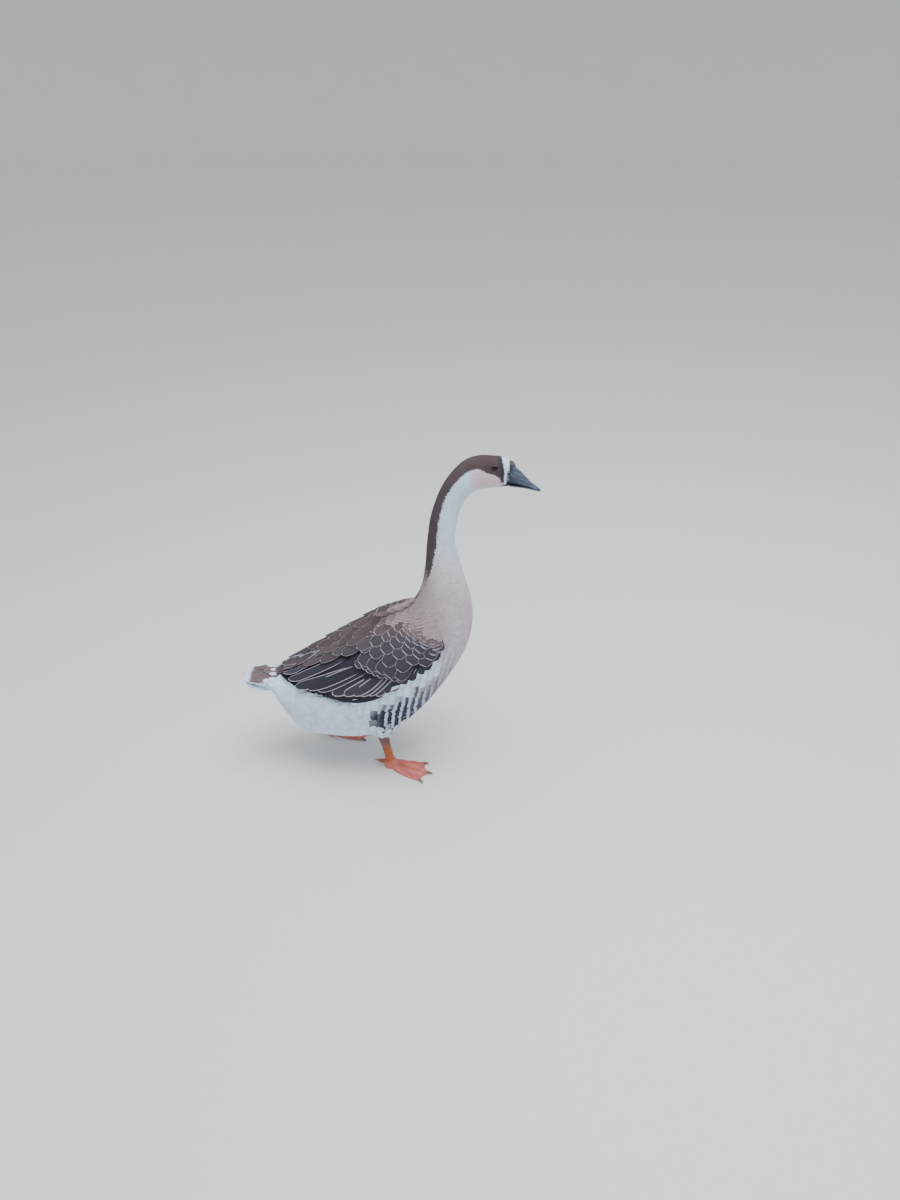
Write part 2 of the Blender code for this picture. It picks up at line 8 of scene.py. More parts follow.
import bpy
import numpy as np
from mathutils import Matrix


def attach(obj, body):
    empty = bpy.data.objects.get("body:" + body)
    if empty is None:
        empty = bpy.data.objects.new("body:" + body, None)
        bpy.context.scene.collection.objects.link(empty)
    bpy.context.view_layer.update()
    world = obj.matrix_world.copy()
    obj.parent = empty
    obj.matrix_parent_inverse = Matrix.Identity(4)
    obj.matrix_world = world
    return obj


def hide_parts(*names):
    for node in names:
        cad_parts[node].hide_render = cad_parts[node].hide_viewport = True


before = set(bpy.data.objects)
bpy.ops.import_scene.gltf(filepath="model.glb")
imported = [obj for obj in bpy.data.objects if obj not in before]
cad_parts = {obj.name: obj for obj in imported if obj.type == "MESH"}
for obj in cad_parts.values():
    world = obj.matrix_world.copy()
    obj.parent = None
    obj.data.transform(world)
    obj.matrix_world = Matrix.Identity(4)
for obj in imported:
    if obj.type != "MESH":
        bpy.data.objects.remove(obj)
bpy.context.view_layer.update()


# Form of the body: the outline that the tips of the plumage reach, from the tail tip (0) to the root of the
# bill (23). Each section holds the top x, z and bottom x, z, the half width, the height of the widest level
# and how square it is. A place counts sections, and a turn is 0 on the back and 90 degrees on the right.
SECTIONS = np.array([
    (-0.3120, 0.2290, -0.3120, 0.2266, 0.0140, 0.50, 2.0),
    (-0.3050, 0.2300, -0.3050, 0.2250, 0.0280, 0.50, 2.0),
    (-0.2830, 0.2310, -0.2820, 0.2200, 0.0360, 0.60, 2.0),
    (-0.2540, 0.2330, -0.2500, 0.2010, 0.0400, 0.60, 2.0),
    (-0.2230, 0.2420, -0.2230, 0.1370, 0.0550, 0.57, 2.0),
    (-0.1930, 0.2560, -0.1790, 0.0945, 0.0750, 0.515, 2.15),
    (-0.1600, 0.2780, -0.1150, 0.0850, 0.0900, 0.50, 2.2),
    (-0.1180, 0.3040, -0.0470, 0.0865, 0.0990, 0.50, 2.2),
    (-0.0710, 0.3330, 0.0226, 0.1095, 0.1030, 0.525, 2.2),
    (-0.0240, 0.3640, 0.0812, 0.1660, 0.1020, 0.535, 2.25),
    (0.0180, 0.3850, 0.1325, 0.2370, 0.0950, 0.52, 2.15),
    (0.0480, 0.4000, 0.1695, 0.3060, 0.0820, 0.48, 2.05),
    (0.0680, 0.4270, 0.1840, 0.3670, 0.0670, 0.46, 2.0),
    (0.0800, 0.4600, 0.1800, 0.4250, 0.0510, 0.50, 2.0),
    (0.0868, 0.5000, 0.1640, 0.4850, 0.0370, 0.50, 2.0),
    (0.0910, 0.5520, 0.1480, 0.5500, 0.0280, 0.50, 2.0),
    (0.0990, 0.6115, 0.1515, 0.6060, 0.0260, 0.50, 2.0),
    (0.1160, 0.6640, 0.1620, 0.6400, 0.0250, 0.50, 2.0),
    (0.1370, 0.7005, 0.1740, 0.6580, 0.0245, 0.50, 2.0),
    (0.1625, 0.7270, 0.1880, 0.6680, 0.0240, 0.50, 2.0),
    (0.1900, 0.7380, 0.2010, 0.6720, 0.0235, 0.48, 2.1),
    (0.2210, 0.7375, 0.2210, 0.6745, 0.0222, 0.46, 2.2),
    (0.2390, 0.7350, 0.2390, 0.6765, 0.0190, 0.43, 2.2),
    (0.2500, 0.7300, 0.2500, 0.6782, 0.0165, 0.42, 2.2),
])
BILL_PLACE = 23.0
WING_FRONT, WING_REAR = 11.6, 3.4
WING_TOP_FRONT, WING_TOP_REAR = 44.0, 8.0
WING_LOW_FRONT, WING_LOW_REAR = 106.0, 20.0
WING_ROUND_FRONT, WING_ROUND_REAR = 0.13, 0.10
WING_DEEPEST, WING_EDGE = 0.0100, 0.0022
EYE_CENTRE = np.array([0.2215, -0.0140, 0.7205])
EYE_RADIUS = 0.0075


def curve(table, place):
    """A smooth curve through a table's rows, read at places counted in rows, and straight past its ends."""
    table = np.asarray(table, float)
    last = len(table) - 1
    before_first, after_last = np.minimum(place, 0.0), np.maximum(place - last, 0.0)
    if table.ndim > 1:
        before_first, after_last = before_first[..., None], after_last[..., None]
    run_on = (table[1] - table[0]) * before_first + (table[-1] - table[-2]) * after_last
    place = np.clip(place, 0.0, last)
    step = np.minimum(place.astype(int), last - 1)
    f = (place - step)[..., None] if table.ndim > 1 else place - step
    padded = np.concatenate([[table[0] * 2 - table[1]], table, [table[-1] * 2 - table[-2]]])
    before, here, after, beyond = (padded[step + i] for i in range(4))
    slope, square = after - before, before * 2 - here * 5 + after * 4 - beyond
    cube = here * 3 - before - after * 3 + beyond
    return run_on + 0.5 * (here * 2 + slope * f + square * f ** 2 + cube * f ** 3)


def ramp(low, high, value):
    """0 below low, 1 above high, smooth between."""
    f = np.clip((value - low) / (high - low), 0.0, 1.0)
    return f * f * (3.0 - 2.0 * f)


def unit(v):
    """Directions of length one."""
    return v / np.maximum(np.linalg.norm(v, axis=-1, keepdims=True), 1e-12)


def bare_point(place, turn):
    """A point of the body's outline at a place and a turn in radians."""
    row = curve(SECTIONS, place)
    top, low = row[..., 0:2], row[..., 2:4]
    level, power = row[..., 5], 2.0 / row[..., 6]
    height = np.linalg.norm(top - low, axis=-1)
    up = (top - low) / height[..., None]
    rise, out = np.cos(turn), np.sin(turn)
    reach = np.where(rise > 0, 1.0 - level, level) * height * np.sign(rise) * np.abs(rise) ** power
    middle = low + (top - low) * level[..., None] + up * reach[..., None]
    side = -row[..., 4] * np.sign(out) * np.abs(out) ** power
    return np.stack([middle[..., 0], side, middle[..., 1]], axis=-1)


def body_normal(place, turn):
    """The direction straight out of the body."""
    along = bare_point(place + 0.02, turn) - bare_point(place - 0.02, turn)
    around = bare_point(place, turn + 0.02) - bare_point(place, turn - 0.02)
    return unit(np.cross(around, along))


def wing_share(place):
    """How far along the folded wing a place lies, from 0 in front to 1 at the tip."""
    return np.clip((WING_FRONT - place) / (WING_FRONT - WING_REAR), 0.0, 1.0)


def wing_borders(f):
    """Upper and lower border of the folded wing as turns, f from 0 in front to 1 at the tip."""
    upper = WING_TOP_REAR + (WING_TOP_FRONT - WING_TOP_REAR) * np.maximum(0.0, 1.0 - f / 0.45) ** 1.2
    lower = WING_LOW_FRONT + (WING_LOW_REAR - WING_LOW_FRONT) * f ** 1.6
    front = np.sqrt(1.0 - (1.0 - np.minimum(f / WING_ROUND_FRONT, 1.0)) ** 2)
    rear = np.sqrt(1.0 - np.maximum(0.0, (f - 1.0 + WING_ROUND_REAR) / WING_ROUND_REAR) ** 2)
    width = np.maximum(front * rear, 0.15)
    middle = upper * 0.55 + lower * 0.45
    return np.radians(middle + (upper - middle) * width), np.radians(middle + (lower - middle) * width)


def wing_depth(f, g):
    """How far the folded wing stands off the body, g from 0 at its upper to 1 at its lower border."""
    across = np.sin(math.pi * (0.06 + 0.82 * g)) ** 0.7
    along = np.sin(math.pi * (0.05 + 0.90 * f)) ** 0.5
    depth = WING_EDGE + (WING_DEEPEST - WING_EDGE) * across * along + 0.0030 * f * g
    return depth * ramp(-0.08, 0.20, g) * ramp(-0.02, 0.14, f)


def wing_rise(place, turn):
    """The wing's swelling on the body, fading to nothing at its borders."""
    f = wing_share(place)
    upper, lower = wing_borders(f)
    g = (np.abs(turn) - upper) / (lower - upper)
    inside = ramp(1.03, 0.96, g) * ramp(1.0, 0.94, f)
    return inside * wing_depth(f, np.clip(g, 0.0, 1.0))


# Each thigh's hock and side, how far its root lies from the hock, and its radii along the way.
THIGHS = {"right": ((-0.014, -0.050, 0.105), -1.0), "left": ((-0.090, 0.060, 0.105), 1.0)}
THIGH_ROOT = (0.020, 0.030, 0.085)
THIGH_DOWN = [0.0, 0.12, 0.30, 0.52, 0.74, 0.89, 1.0]
THIGH_RADII = [0.0050, 0.0182, 0.0281, 0.0304, 0.0251, 0.0195, 0.0160]
THIGH_LAST, THIGH_BLEND = 0.74, 0.012


def thigh_axis(side):
    """Both ends of a thigh's middle line, in the flank and at the hock."""
    hock, out = THIGHS[side]
    return np.array(hock) + np.array([THIGH_ROOT[0], out * THIGH_ROOT[1], THIGH_ROOT[2]]), np.array(hock)


def thigh_distance(points):
    """How far points lie outside the nearer thigh."""
    found = np.full(points.shape[:-1], 1.0)
    for side in THIGHS:
        root, hock = thigh_axis(side)
        way = hock - root
        a = np.clip(((points - root) @ way) / (way @ way), 0.0, THIGH_LAST)
        away = np.linalg.norm(points - root - a[..., None] * way, axis=-1)
        found = np.minimum(found, away - np.interp(a, THIGH_DOWN, THIGH_RADII))
    return found


def thigh_rise(points, normals):
    """How far the body swells over the thighs: steps in from outside to the smooth blend of both shapes."""
    rise = np.zeros(points.shape[:-1])
    near = (points[..., 2] < 0.24) & (np.abs(points[..., 0] + 0.045) < 0.125)
    near = near & (np.abs(points[..., 1]) > 0.012)
    if near.any():
        p, n = points[near], normals[near]
        height = np.full(len(p), 0.036)
        for _ in range(14):
            thigh = thigh_distance(p + n * height[:, None])
            gap = np.maximum(THIGH_BLEND - np.abs(height - thigh), 0.0)
            height = height - (np.minimum(height, thigh) - gap * gap / (4 * THIGH_BLEND))
        rise[near] = np.maximum(height, 0.0)
    return rise


def body_point(place, turn, lift):
    """A point at a height above the outline, the folded wings and the thighs included."""
    normal = body_normal(place, turn)
    points = bare_point(place, turn) + normal * wing_rise(place, turn)[..., None]
    return points + normal * (thigh_rise(points, normal) + lift)[..., None]


def coat_depth(place):
    """How far the skin lies inside the tips of the plumage."""
    return np.interp(place, [0, 3, 5, 8, 12, 14, 19, 20, 23],
                     [0.0007, 0.0022, 0.0045, 0.0040, 0.0032, 0.0022, 0.0016, 0.0012, 0.0010])


# Colours of the plumage, read by skin and feathers alike: brown cap and stripe down the back of the neck,
# white front of the neck and band round the bill, pinkish cheeks, buff breast, barred flanks, white belly.
# Their borders are given as places along the body and turns round it in degrees, on the head as x and z.
# The white carries a painted blue tint: the cool light of shade under an open sky.
WHITE = np.array([0.67, 0.80, 0.96])
CREAM = np.array([0.68, 0.66, 0.72])
CHEEK = np.array([0.74, 0.59, 0.64])
BUFF = np.array([0.455, 0.375, 0.405])
LILAC = np.array([0.60, 0.56, 0.66])
MANTLE = np.array([0.240, 0.178, 0.192])
BROWN = np.array([0.064, 0.047, 0.053])
TAIL_BROWN = np.array([0.150, 0.112, 0.118])
CAP = np.array([0.066, 0.043, 0.048])
SLATE = np.array([0.038, 0.036, 0.054])
NIGHT = np.array([0.014, 0.016, 0.026])
FLANK_GREY = np.array([0.105, 0.115, 0.165])
FLANK_DARK = np.array([0.017, 0.025, 0.046])
EDGE = np.array([0.44, 0.39, 0.45])
FLANK_EDGE = np.array([0.60, 0.65, 0.80])
STRIPE_PLACES = [13.0, 13.8, 14.4, 15.2, 16.2, 17.3, 18.6, 19.7, 20.2]
STRIPE_TURNS = [20, 40, 54, 72, 65, 60, 60, 60, 62]
CAP_X = [0.160, 0.1766, 0.190, 0.199, 0.207, 0.217, 0.224, 0.2308, 0.236, 0.240]
CAP_Z = [0.7150, 0.7195, 0.7200, 0.7165, 0.7120, 0.7095, 0.7065, 0.7010, 0.6945, 0.6890]
BAND_Z = [0.6830, 0.6860, 0.6920, 0.7000, 0.7100, 0.7167, 0.7280, 0.7370]
BAND_REAR = [0.2418, 0.2410, 0.2402, 0.2398, 0.2400, 0.2398, 0.2376, 0.2350]
BAND_FRONT = [0.2420, 0.2432, 0.2448, 0.2455, 0.2458, 0.2462, 0.2476, 0.2500]
LORE_WIDE = 0.0078
FLANK_TOP_PLACES = [7.4, 7.7, 8.1, 8.7, 9.3, 9.7, 10.5]
FLANK_TOP_TURNS = [104, 99, 95, 100, 103, 111, 120]
STRIPE_LOW_PLACES, STRIPE_LOW_TURNS = [10.2, 10.5, 11.4], [119, 112, 98]
DARK_UNDER_F, DARK_UNDER_G = [0.30, 0.36, 0.42], [0.955, 0.970, 1.0]
RIM_WIDTH, FLANK_RIM_WIDTH = 0.15, 0.30


def wobble(place, turn, size):
    """A smooth uneven value from -1 to 1, for borders that aren't ruled."""
    a = place * 3.1 / size
    b = turn * 4.3 / size
    return (np.sin(a + 1.3 * np.sin(b * 0.7)) * np.cos(b + 1.7 * np.sin(a * 0.6))
            + 0.5 * np.sin(2.3 * a - 1.9 * b)) / 1.5


def blend(base, colour, amount):
    """The base colours moved towards another colour by an amount for each."""
    return base + (np.asarray(colour) - base) * np.asarray(amount)[..., None]


def wing_tone(f, g):
    """Ground colour of the wing: brown above, slate below, nearly black low at the rear, lighter in front."""
    tone = blend(np.broadcast_to(BROWN, f.shape + (3,)), SLATE, ramp(0.05, 0.50, g))
    tone = blend(tone, BROWN * 1.35, ramp(0.30, 0.05, g) * ramp(0.40, 0.20, f) * 0.7)
    tone = blend(tone, NIGHT * 1.2, ramp(0.55, 0.85, g) * ramp(0.48, 0.66, f) * 0.80)
    front = ramp(0.20 - 0.12 * g, 0.07 - 0.03 * g, f)
    return blend(tone, MANTLE * 0.75, front * (1.0 - 0.6 * ramp(0.45, 0.9, g)))


def wing_place(place, turn):
    """Where a place of the body lies on the folded wing, as f and g."""
    f = wing_share(place)
    upper, lower = wing_borders(f)
    return f, (np.abs(turn) - upper) / (lower - upper)


def face(points, tone):
    """Cap, dark lore, white band, painted shade between the band and the bill and a painted shadow line back
    from the mouth corner, by their place in the side view.
    """
    x, z = points[..., 0], points[..., 2]
    cap = ramp(-0.0011, 0.0011, z - np.interp(x, CAP_X, CAP_Z)) * ramp(0.150, 0.168, x)
    tone = blend(tone, CAP, cap * ramp(0.2425, 0.2405, x))
    rear, front = np.interp(z, BAND_Z, BAND_REAR), np.interp(z, BAND_Z, BAND_FRONT)
    lore = ramp(rear - LORE_WIDE - 0.0025, rear - LORE_WIDE + 0.0025, x) * ramp(0.6885, 0.6930, z)
    tone = blend(tone, NIGHT * 1.6, lore * 0.85)
    tone = blend(tone, WHITE * 1.04, ramp(rear - 0.0005, rear + 0.0005, x) * ramp(0.6830, 0.6845, z))
    # Painted shade: a dark strip between the white band and the bill, where the knob's base lies in shadow.
    tone = blend(tone, NIGHT * 0.8, ramp(front - 0.0004, front + 0.0005, x) * ramp(0.6745, 0.6775, z))
    # Painted shadow: a dark line running back from the corner of the mouth.
    mouth_corner_shadow = ramp(0.228, 0.242, x) * ramp(0.6870, 0.6850, z) * ramp(0.6795, 0.6815, z)
    return blend(tone, NIGHT * 1.5, mouth_corner_shadow * 0.8)


def neck_tones(place, turn, p, t):
    """Buff breast, white front of the neck, pinkish cheeks and the brown stripe down the back of the neck."""
    tone = np.broadcast_to(BUFF, p.shape + (3,)).copy()
    tone = blend(tone, CREAM, ramp(12.4, 15.0, p + 0.010 * (t - 90)))
    tone = blend(tone, WHITE, ramp(13.8, 15.8, p + 0.006 * (t - 90)))
    tone = blend(tone, CHEEK, ramp(18.5, 19.8, p + 0.008 * (t - 100)) * ramp(150, 128, t))
    border = np.interp(p, STRIPE_PLACES, STRIPE_TURNS)
    stripe = ramp(3.0, -3.0, t - border) * ramp(12.9, 14.0, p + 0.35 * wobble(place * 2.0, turn, 0.3))
    tone = blend(tone, BROWN, stripe * ramp(20.3, 19.7, p))
    neck_base = ramp(11.8, 13.2, p) * ramp(14.4, 13.4, p) * ramp(44, 14, t)
    return blend(tone, MANTLE, neck_base * 0.55)


def back_tones(p, t, tone):
    """The mantle, browner and more sharply barred to the rear, with the strength of the rims, and a paler,
    bluer lower breast that is partly its own tone and partly painted light.
    """
    # Painted light: the lower breast turns paler and bluer, partly the feathers' own pale tone and partly
    # painted skylight.
    tone = blend(tone, LILAC, ramp(13.4, 12.2, p) * ramp(62, 92, t) * 0.6)
    back = ramp(13.6, 10.8, p + 0.004 * t) * ramp(112, 84, t)
    tone = blend(tone, MANTLE, back * 0.95)
    tone = blend(tone, BROWN * 1.15, ramp(10.4, 8.8, p) * ramp(60, 40, t))
    strength = 0.10 + 0.85 * ramp(13.5, 12.0, p + 0.004 * t) * ramp(112, 84, t)
    return tone, strength


def flank_field(p, t, uneven):
    """Where the barred flank lies, and the turn of its upper border."""
    top = np.interp(p, FLANK_TOP_PLACES, FLANK_TOP_TURNS)
    return ramp(-2, 2, t - top) * ramp(156, 150, t) * ramp(7.52, 7.60, p + 0.10 * uneven), top


def white_field(p, t, top, uneven):
    """The white stripe under the wing, the white belly and vent, and the white round the root of the tail."""
    low = np.where(p < 10.2, top + 3.0, np.interp(p, STRIPE_LOW_PLACES, STRIPE_LOW_TURNS))
    white = ramp(3.0, -3.0, t - low - 5.0 * uneven) * ramp(11.3, 10.3, p) * ramp(70, 76, t)
    white = np.maximum(white, ramp(7.75, 7.45, p + 0.30 * uneven) * ramp(60, 68, t + 8.0 * (7.0 - p)))
    white = np.maximum(white, ramp(146, 154, t) * ramp(9.4, 8.2, p))
    return np.maximum(white, ramp(4.3, 3.9, p) * ramp(12, 20, t))


def plumage(place, turn):
    """Ground colour, edge colour, edge width and edge strength for feathers rooted at these places."""
    t = np.degrees(np.abs(turn)) + 2.0 * wobble(place, turn, 0.5)
    p = place + 0.08 * wobble(place, turn, 0.35)
    uneven = wobble(place, turn, 0.12)
    tone, strength = back_tones(p, t, neck_tones(place, turn, p, t))
    edge = np.broadcast_to(EDGE, p.shape + (3,)).copy()
    # dark feathers with pale edges on the flank, greyer and fainter towards the breast
    flank, top = flank_field(p, t, uneven)
    front = ramp(10.9, 9.0, p + 0.004 * (t - 110))
    tone = blend(tone, FLANK_GREY, flank * front)
    tone = blend(tone, FLANK_DARK, flank * ramp(9.6, 8.3, p + 0.10 * uneven))
    edge = blend(edge, FLANK_EDGE, flank * front)
    strength = strength + (0.97 - strength) * flank * front
    width = RIM_WIDTH + (FLANK_RIM_WIDTH - RIM_WIDTH) * flank
    dark_patch = ramp(8.16, 8.00, p) * ramp(97, 101, t) * flank
    strength = strength * (1 - 0.9 * dark_patch)
    # white parts, the brown upper side of the tail, and under the folded wings the wing's own colour darkened
    # as painted shade
    white = white_field(p, t, top, uneven)
    tone = blend(tone, WHITE, white)
    tone = blend(tone, TAIL_BROWN, ramp(3.6, 3.2, p) * ramp(1.2, 1.6, p) * ramp(70, 60, t))
    strength = strength * (1 - white)
    f, g = wing_place(place, turn)
    lowest = np.interp(f, DARK_UNDER_F, DARK_UNDER_G)
    under = ((f > 0.05) & (f < 0.985) & (g > 0.02) & (g < lowest)).astype(float)
    # Painted shade: the ground under the folded wings takes the wing's own colour, darkened.
    tone = blend(tone, wing_tone(f, g) * 0.8, under)
    tone = np.where((place > 19.0)[..., None], face(bare_point(place, turn), tone), tone)
    return tone, edge, width, strength


# One skin lies under all the plumage, from the tail to the root of the bill, with the folded wings' swelling
# and both thighs. It is bare skin in life, and here it carries the same colours as the feathers over it.
SKIN_TURNS = 112
SKIN_PLACES = np.concatenate([np.arange(0.0, 3.0, 0.12), np.arange(3.0, 13.0, 0.10),
                              np.arange(13.0, 19.0, 0.10), np.linspace(19.0, BILL_PLACE, 90)])
THIGH_SKIN = 0.0030


def mesh_of(name, points, faces):
    """A mesh from arrays of points and of faces with three or four corners."""
    mesh = bpy.data.meshes.new(name)
    faces = [np.asarray(part, dtype=np.int32) for part in faces if len(part)]
    mesh.vertices.add(len(points))
    mesh.vertices.foreach_set("co", np.asarray(points, dtype=np.float32).ravel())
    corners = np.concatenate([part.ravel() for part in faces])
    sizes = np.concatenate([np.full(len(part), part.shape[1], dtype=np.int32) for part in faces])
    mesh.loops.add(len(corners))
    mesh.loops.foreach_set("vertex_index", corners)
    mesh.polygons.add(len(sizes))
    mesh.polygons.foreach_set("loop_start", np.concatenate([[0], np.cumsum(sizes)[:-1]]).astype(np.int32))
    mesh.polygons.foreach_set("use_smooth", np.ones(len(sizes), dtype=bool))
    mesh.update(calc_edges=True)
    return mesh


def corner_map(mesh, name, spots):
    """A UV map from one spot for each vertex."""
    corners = np.empty(len(mesh.loops), dtype=np.int32)
    mesh.loops.foreach_get("vertex_index", corners)
    layer = mesh.uv_layers.new(name=name)
    layer.data.foreach_set("uv", np.asarray(spots, dtype=np.float32)[corners].ravel())


def tint(mesh, name, colours):
    """A colour for each vertex."""
    layer = mesh.attributes.new(name, "FLOAT_COLOR", "POINT")
    colours = np.asarray(colours, dtype=np.float32)
    if colours.shape[1] == 3:
        colours = np.concatenate([colours, np.ones((len(colours), 1), np.float32)], axis=1)
    layer.data.foreach_set("color", colours.ravel())


def place_in_scene(name, mesh, material, nodes=()):
    """Put a finished mesh in the scene as a piece that rides on the bird."""
    piece = bpy.data.objects.new(name, mesh)
    bpy.context.scene.collection.objects.link(piece)
    mesh.materials.append(material)
    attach(piece, "root")
    if nodes:
        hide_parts(*nodes)
    return piece


def grid_faces(rows, columns, closed=False, start=0):
    """Quads over a grid of rows and columns of points; closed joins the last column to the first."""
    across = np.arange(columns if closed else columns - 1)
    i, j = np.meshgrid(np.arange(rows - 1), across, indexing="ij")
    after = (j + 1) % columns
    quads = np.stack([i * columns + j, (i + 1) * columns + j, (i + 1) * columns + after, i * columns + after],
                     axis=-1)
    return quads.reshape(-1, 4) + start


class Wire:
    """A shader socket that adds, multiplies and compares like a number."""

    def __init__(self, paint, socket):
        self.paint, self.socket = paint, socket

    def _math(self, operation, first, second=None):
        settings = {"operation": operation}
        values = [first] if second is None else [first, second]
        return self.paint.node("ShaderNodeMath", settings, *values)[0]

    def __add__(self, other):
        return self._math("ADD", self, other)

    def __radd__(self, other):
        return self._math("ADD", other, self)

    def __sub__(self, other):
        return self._math("SUBTRACT", self, other)

    def __rsub__(self, other):
        return self._math("SUBTRACT", other, self)

    def __mul__(self, other):
        return self._math("MULTIPLY", self, other)

    def __rmul__(self, other):
        return self._math("MULTIPLY", other, self)

    def __truediv__(self, other):
        return self._math("DIVIDE", self, other)

    def power(self, other):
        return self._math("POWER", self, other)

    def size(self):
        return self._math("ABSOLUTE", self)

    def wave(self):
        return self._math("SINE", self)

    def larger(self, other):
        return self._math("MAXIMUM", self, other)

    def smaller(self, other):
        return self._math("MINIMUM", self, other)

    def ramp(self, low, high):
        """0 at low, 1 at high, smooth between."""
        settings = {"interpolation_type": "SMOOTHSTEP"}
        return self.paint.node("ShaderNodeMapRange", settings, self, low, high)[0]


class Paint:
    """A material with one Principled shader, made from plain calls."""

    def __init__(self, name, **inputs):
        self.material = bpy.data.materials.new(name)
        self.material.use_nodes = True
        self.tree = self.material.node_tree
        self.shader = self.tree.nodes["Principled BSDF"]
        self.set(**inputs)

    def node(self, kind, settings=None, *values, **named):
        """Add a node, set it, feed its inputs in order or by name, and return its outputs."""
        made = self.tree.nodes.new(kind)
        for key, value in (settings or {}).items():
            setattr(made, key, value)
        feeds = list(enumerate(values)) + [(key.replace("_", " "), value) for key, value in named.items()]
        for key, value in feeds:
            self.feed(made.inputs[key], value)
        return [Wire(self, output) for output in made.outputs]

    def feed(self, socket, value):
        """Link a wire to a socket, or set the socket to a number or colour."""
        if isinstance(value, Wire):
            self.tree.links.new(value.socket, socket)
        elif isinstance(value, (tuple, list, np.ndarray)):
            value = [float(v) for v in value]
            socket.default_value = value + [1.0] if len(value) == 3 and socket.type == "RGBA" else value
        else:
            socket.default_value = float(value)

    def set(self, **inputs):
        """Set inputs of the shader by name."""
        for key, value in inputs.items():
            self.feed(self.shader.inputs[key.replace("_", " ")], value)

    def mix(self, amount, first, second):
        """A colour between two colours."""
        made = self.tree.nodes.new("ShaderNodeMix")
        made.data_type = "RGBA"
        for key, value in (("Factor_Float", amount), ("A_Color", first), ("B_Color", second)):
            self.feed(next(s for s in made.inputs if s.identifier == key), value)
        return Wire(self, next(s for s in made.outputs if s.identifier == "Result_Color"))

    def attribute(self, name):
        """Colour and alpha of a vertex colour."""
        colour, _, _, alpha = self.node("ShaderNodeAttribute", {"attribute_name": name})
        return colour, alpha

    def map(self, name):
        """Both coordinates of a UV map."""
        spot = self.node("ShaderNodeUVMap", {"uv_map": name})[0]
        return self.node("ShaderNodeSeparateXYZ", None, spot)[:2]

    def place(self):
        """Object coordinates."""
        return self.node("ShaderNodeTexCoord")[3]

    def noise(self, scale, detail=2.0):
        """Soft clouds from 0 to 1."""
        return self.node("ShaderNodeTexNoise", None, Vector=self.place(), Scale=scale, Detail=detail,
                         Roughness=0.5)[0]

    def bump(self, height, depth, strength):
        """Fine relief."""
        bumped = self.node("ShaderNodeBump", None, Strength=strength, Distance=depth, Height=height)
        self.set(Normal=bumped[-1])


def thigh_point(side, a, b, lift):
    """A point of a thigh, a from 0 in the flank to 1 at the hock, b round it in radians."""
    root, hock = thigh_axis(side)
    radius = np.interp(a, THIGH_DOWN, THIGH_RADII) + lift
    middle = root + (hock - root) * a[..., None]
    ring = np.stack([np.cos(b) * radius, np.sin(b) * radius, np.zeros_like(b)], axis=-1)
    return middle + ring


thigh_a, thigh_b = np.meshgrid(np.linspace(0.45, 0.985, 18),
                               np.linspace(-math.pi, math.pi, 40, endpoint=False), indexing="ij")
P, T = np.meshgrid(SKIN_PLACES, np.linspace(-math.pi, math.pi, SKIN_TURNS + 1), indexing="ij")
skin_points = body_point(P, T, -coat_depth(P))
skin_points[:, -1] = skin_points[:, 0]
skin_rows, skin_columns = P.shape
skin_faces = grid_faces(skin_rows, skin_columns)[:, ::-1]
skin_tones = plumage(P, T)[0].reshape(-1, 3)
skin_map = np.stack([0.03 + 0.94 * (T + math.pi) / math.tau, 0.12 + 0.85 * P / BILL_PLACE],
                    axis=-1).reshape(-1, 2)
skin_verts = [skin_points.reshape(-1, 3)]
faces, tones, spots = [skin_faces], [skin_tones], [skin_map]
count = skin_rows * skin_columns
for end, order in ((0, 1), (skin_rows - 1, -1)):
    middle = skin_points[end, :-1].mean(0)
    skin_verts.append(middle[None])
    ring = end * skin_columns + np.arange(skin_columns)
    faces.append(np.stack([ring[:-1], ring[1:], np.full(skin_columns - 1, count)], axis=1)[:, ::order])
    tones.append(skin_tones[end * skin_columns][None])
    spots.append(np.array([[0.5, 0.11 if end == 0 else 0.985]]))
    count += 1
for number, side in enumerate(("right", "left")):
    thigh_points = thigh_point(side, thigh_a, thigh_b, np.full(thigh_a.shape, -THIGH_SKIN))
    skin_verts.append(thigh_points.reshape(-1, 3))
    faces.append(grid_faces(*thigh_a.shape, closed=True, start=count))
    tones.append(np.broadcast_to(WHITE * 0.9, (thigh_a.size, 3)))
    spots.append(np.stack([0.05 + 0.4 * (thigh_b + math.pi) / math.tau + 0.5 * number, 0.01 + 0.08 * thigh_a],
                          axis=-1).reshape(-1, 2))
    count += thigh_a.size
skin_mesh = mesh_of("skin", np.concatenate(skin_verts), [part for part in faces if part.shape[1] == 4]
                    + [part for part in faces if part.shape[1] == 3])
corner_map(skin_mesh, "OFBake", np.concatenate(spots))
tint(skin_mesh, "tone", np.concatenate(tones))
skin_paint = Paint("skin", Roughness=0.9, Specular_IOR_Level=0.15)
skin_tone, _ = skin_paint.attribute("tone")
skin_paint.set(Base_Color=skin_tone)
skin_paint.bump(skin_paint.noise(900.0), 0.0006, 0.4)
place_in_scene("skin", skin_mesh, skin_paint.material,
               ("tail", "trunk", "neck_lower", "neck_middle", "neck_upper", "head",
                "thigh_left", "thigh_right"))


# The plumage is made of thin vanes laid over the skin like roof tiles, each with its own shaft, pale edge and
# barbs. Every vane walks along the body from its root, so that it hugs the form, and its tip lies uppermost.
class Sheet:
    """A surface that feathers lie on: the first number runs the way they point."""

    def __init__(self, point, steps):
        self.point, self.steps = point, steps
        self.reached = None

    def frame(self, a, b):
        """Both tangents and the unit normal."""
        zero = np.zeros_like(a)
        step_a, step_b = self.steps
        along = (self.point(a + step_a, b, zero) - self.point(a - step_a, b, zero)) / (2 * step_a)
        around = (self.point(a, b + step_b, zero) - self.point(a, b - step_b, zero)) / (2 * step_b)
        return along, around, unit(np.cross(along, around))


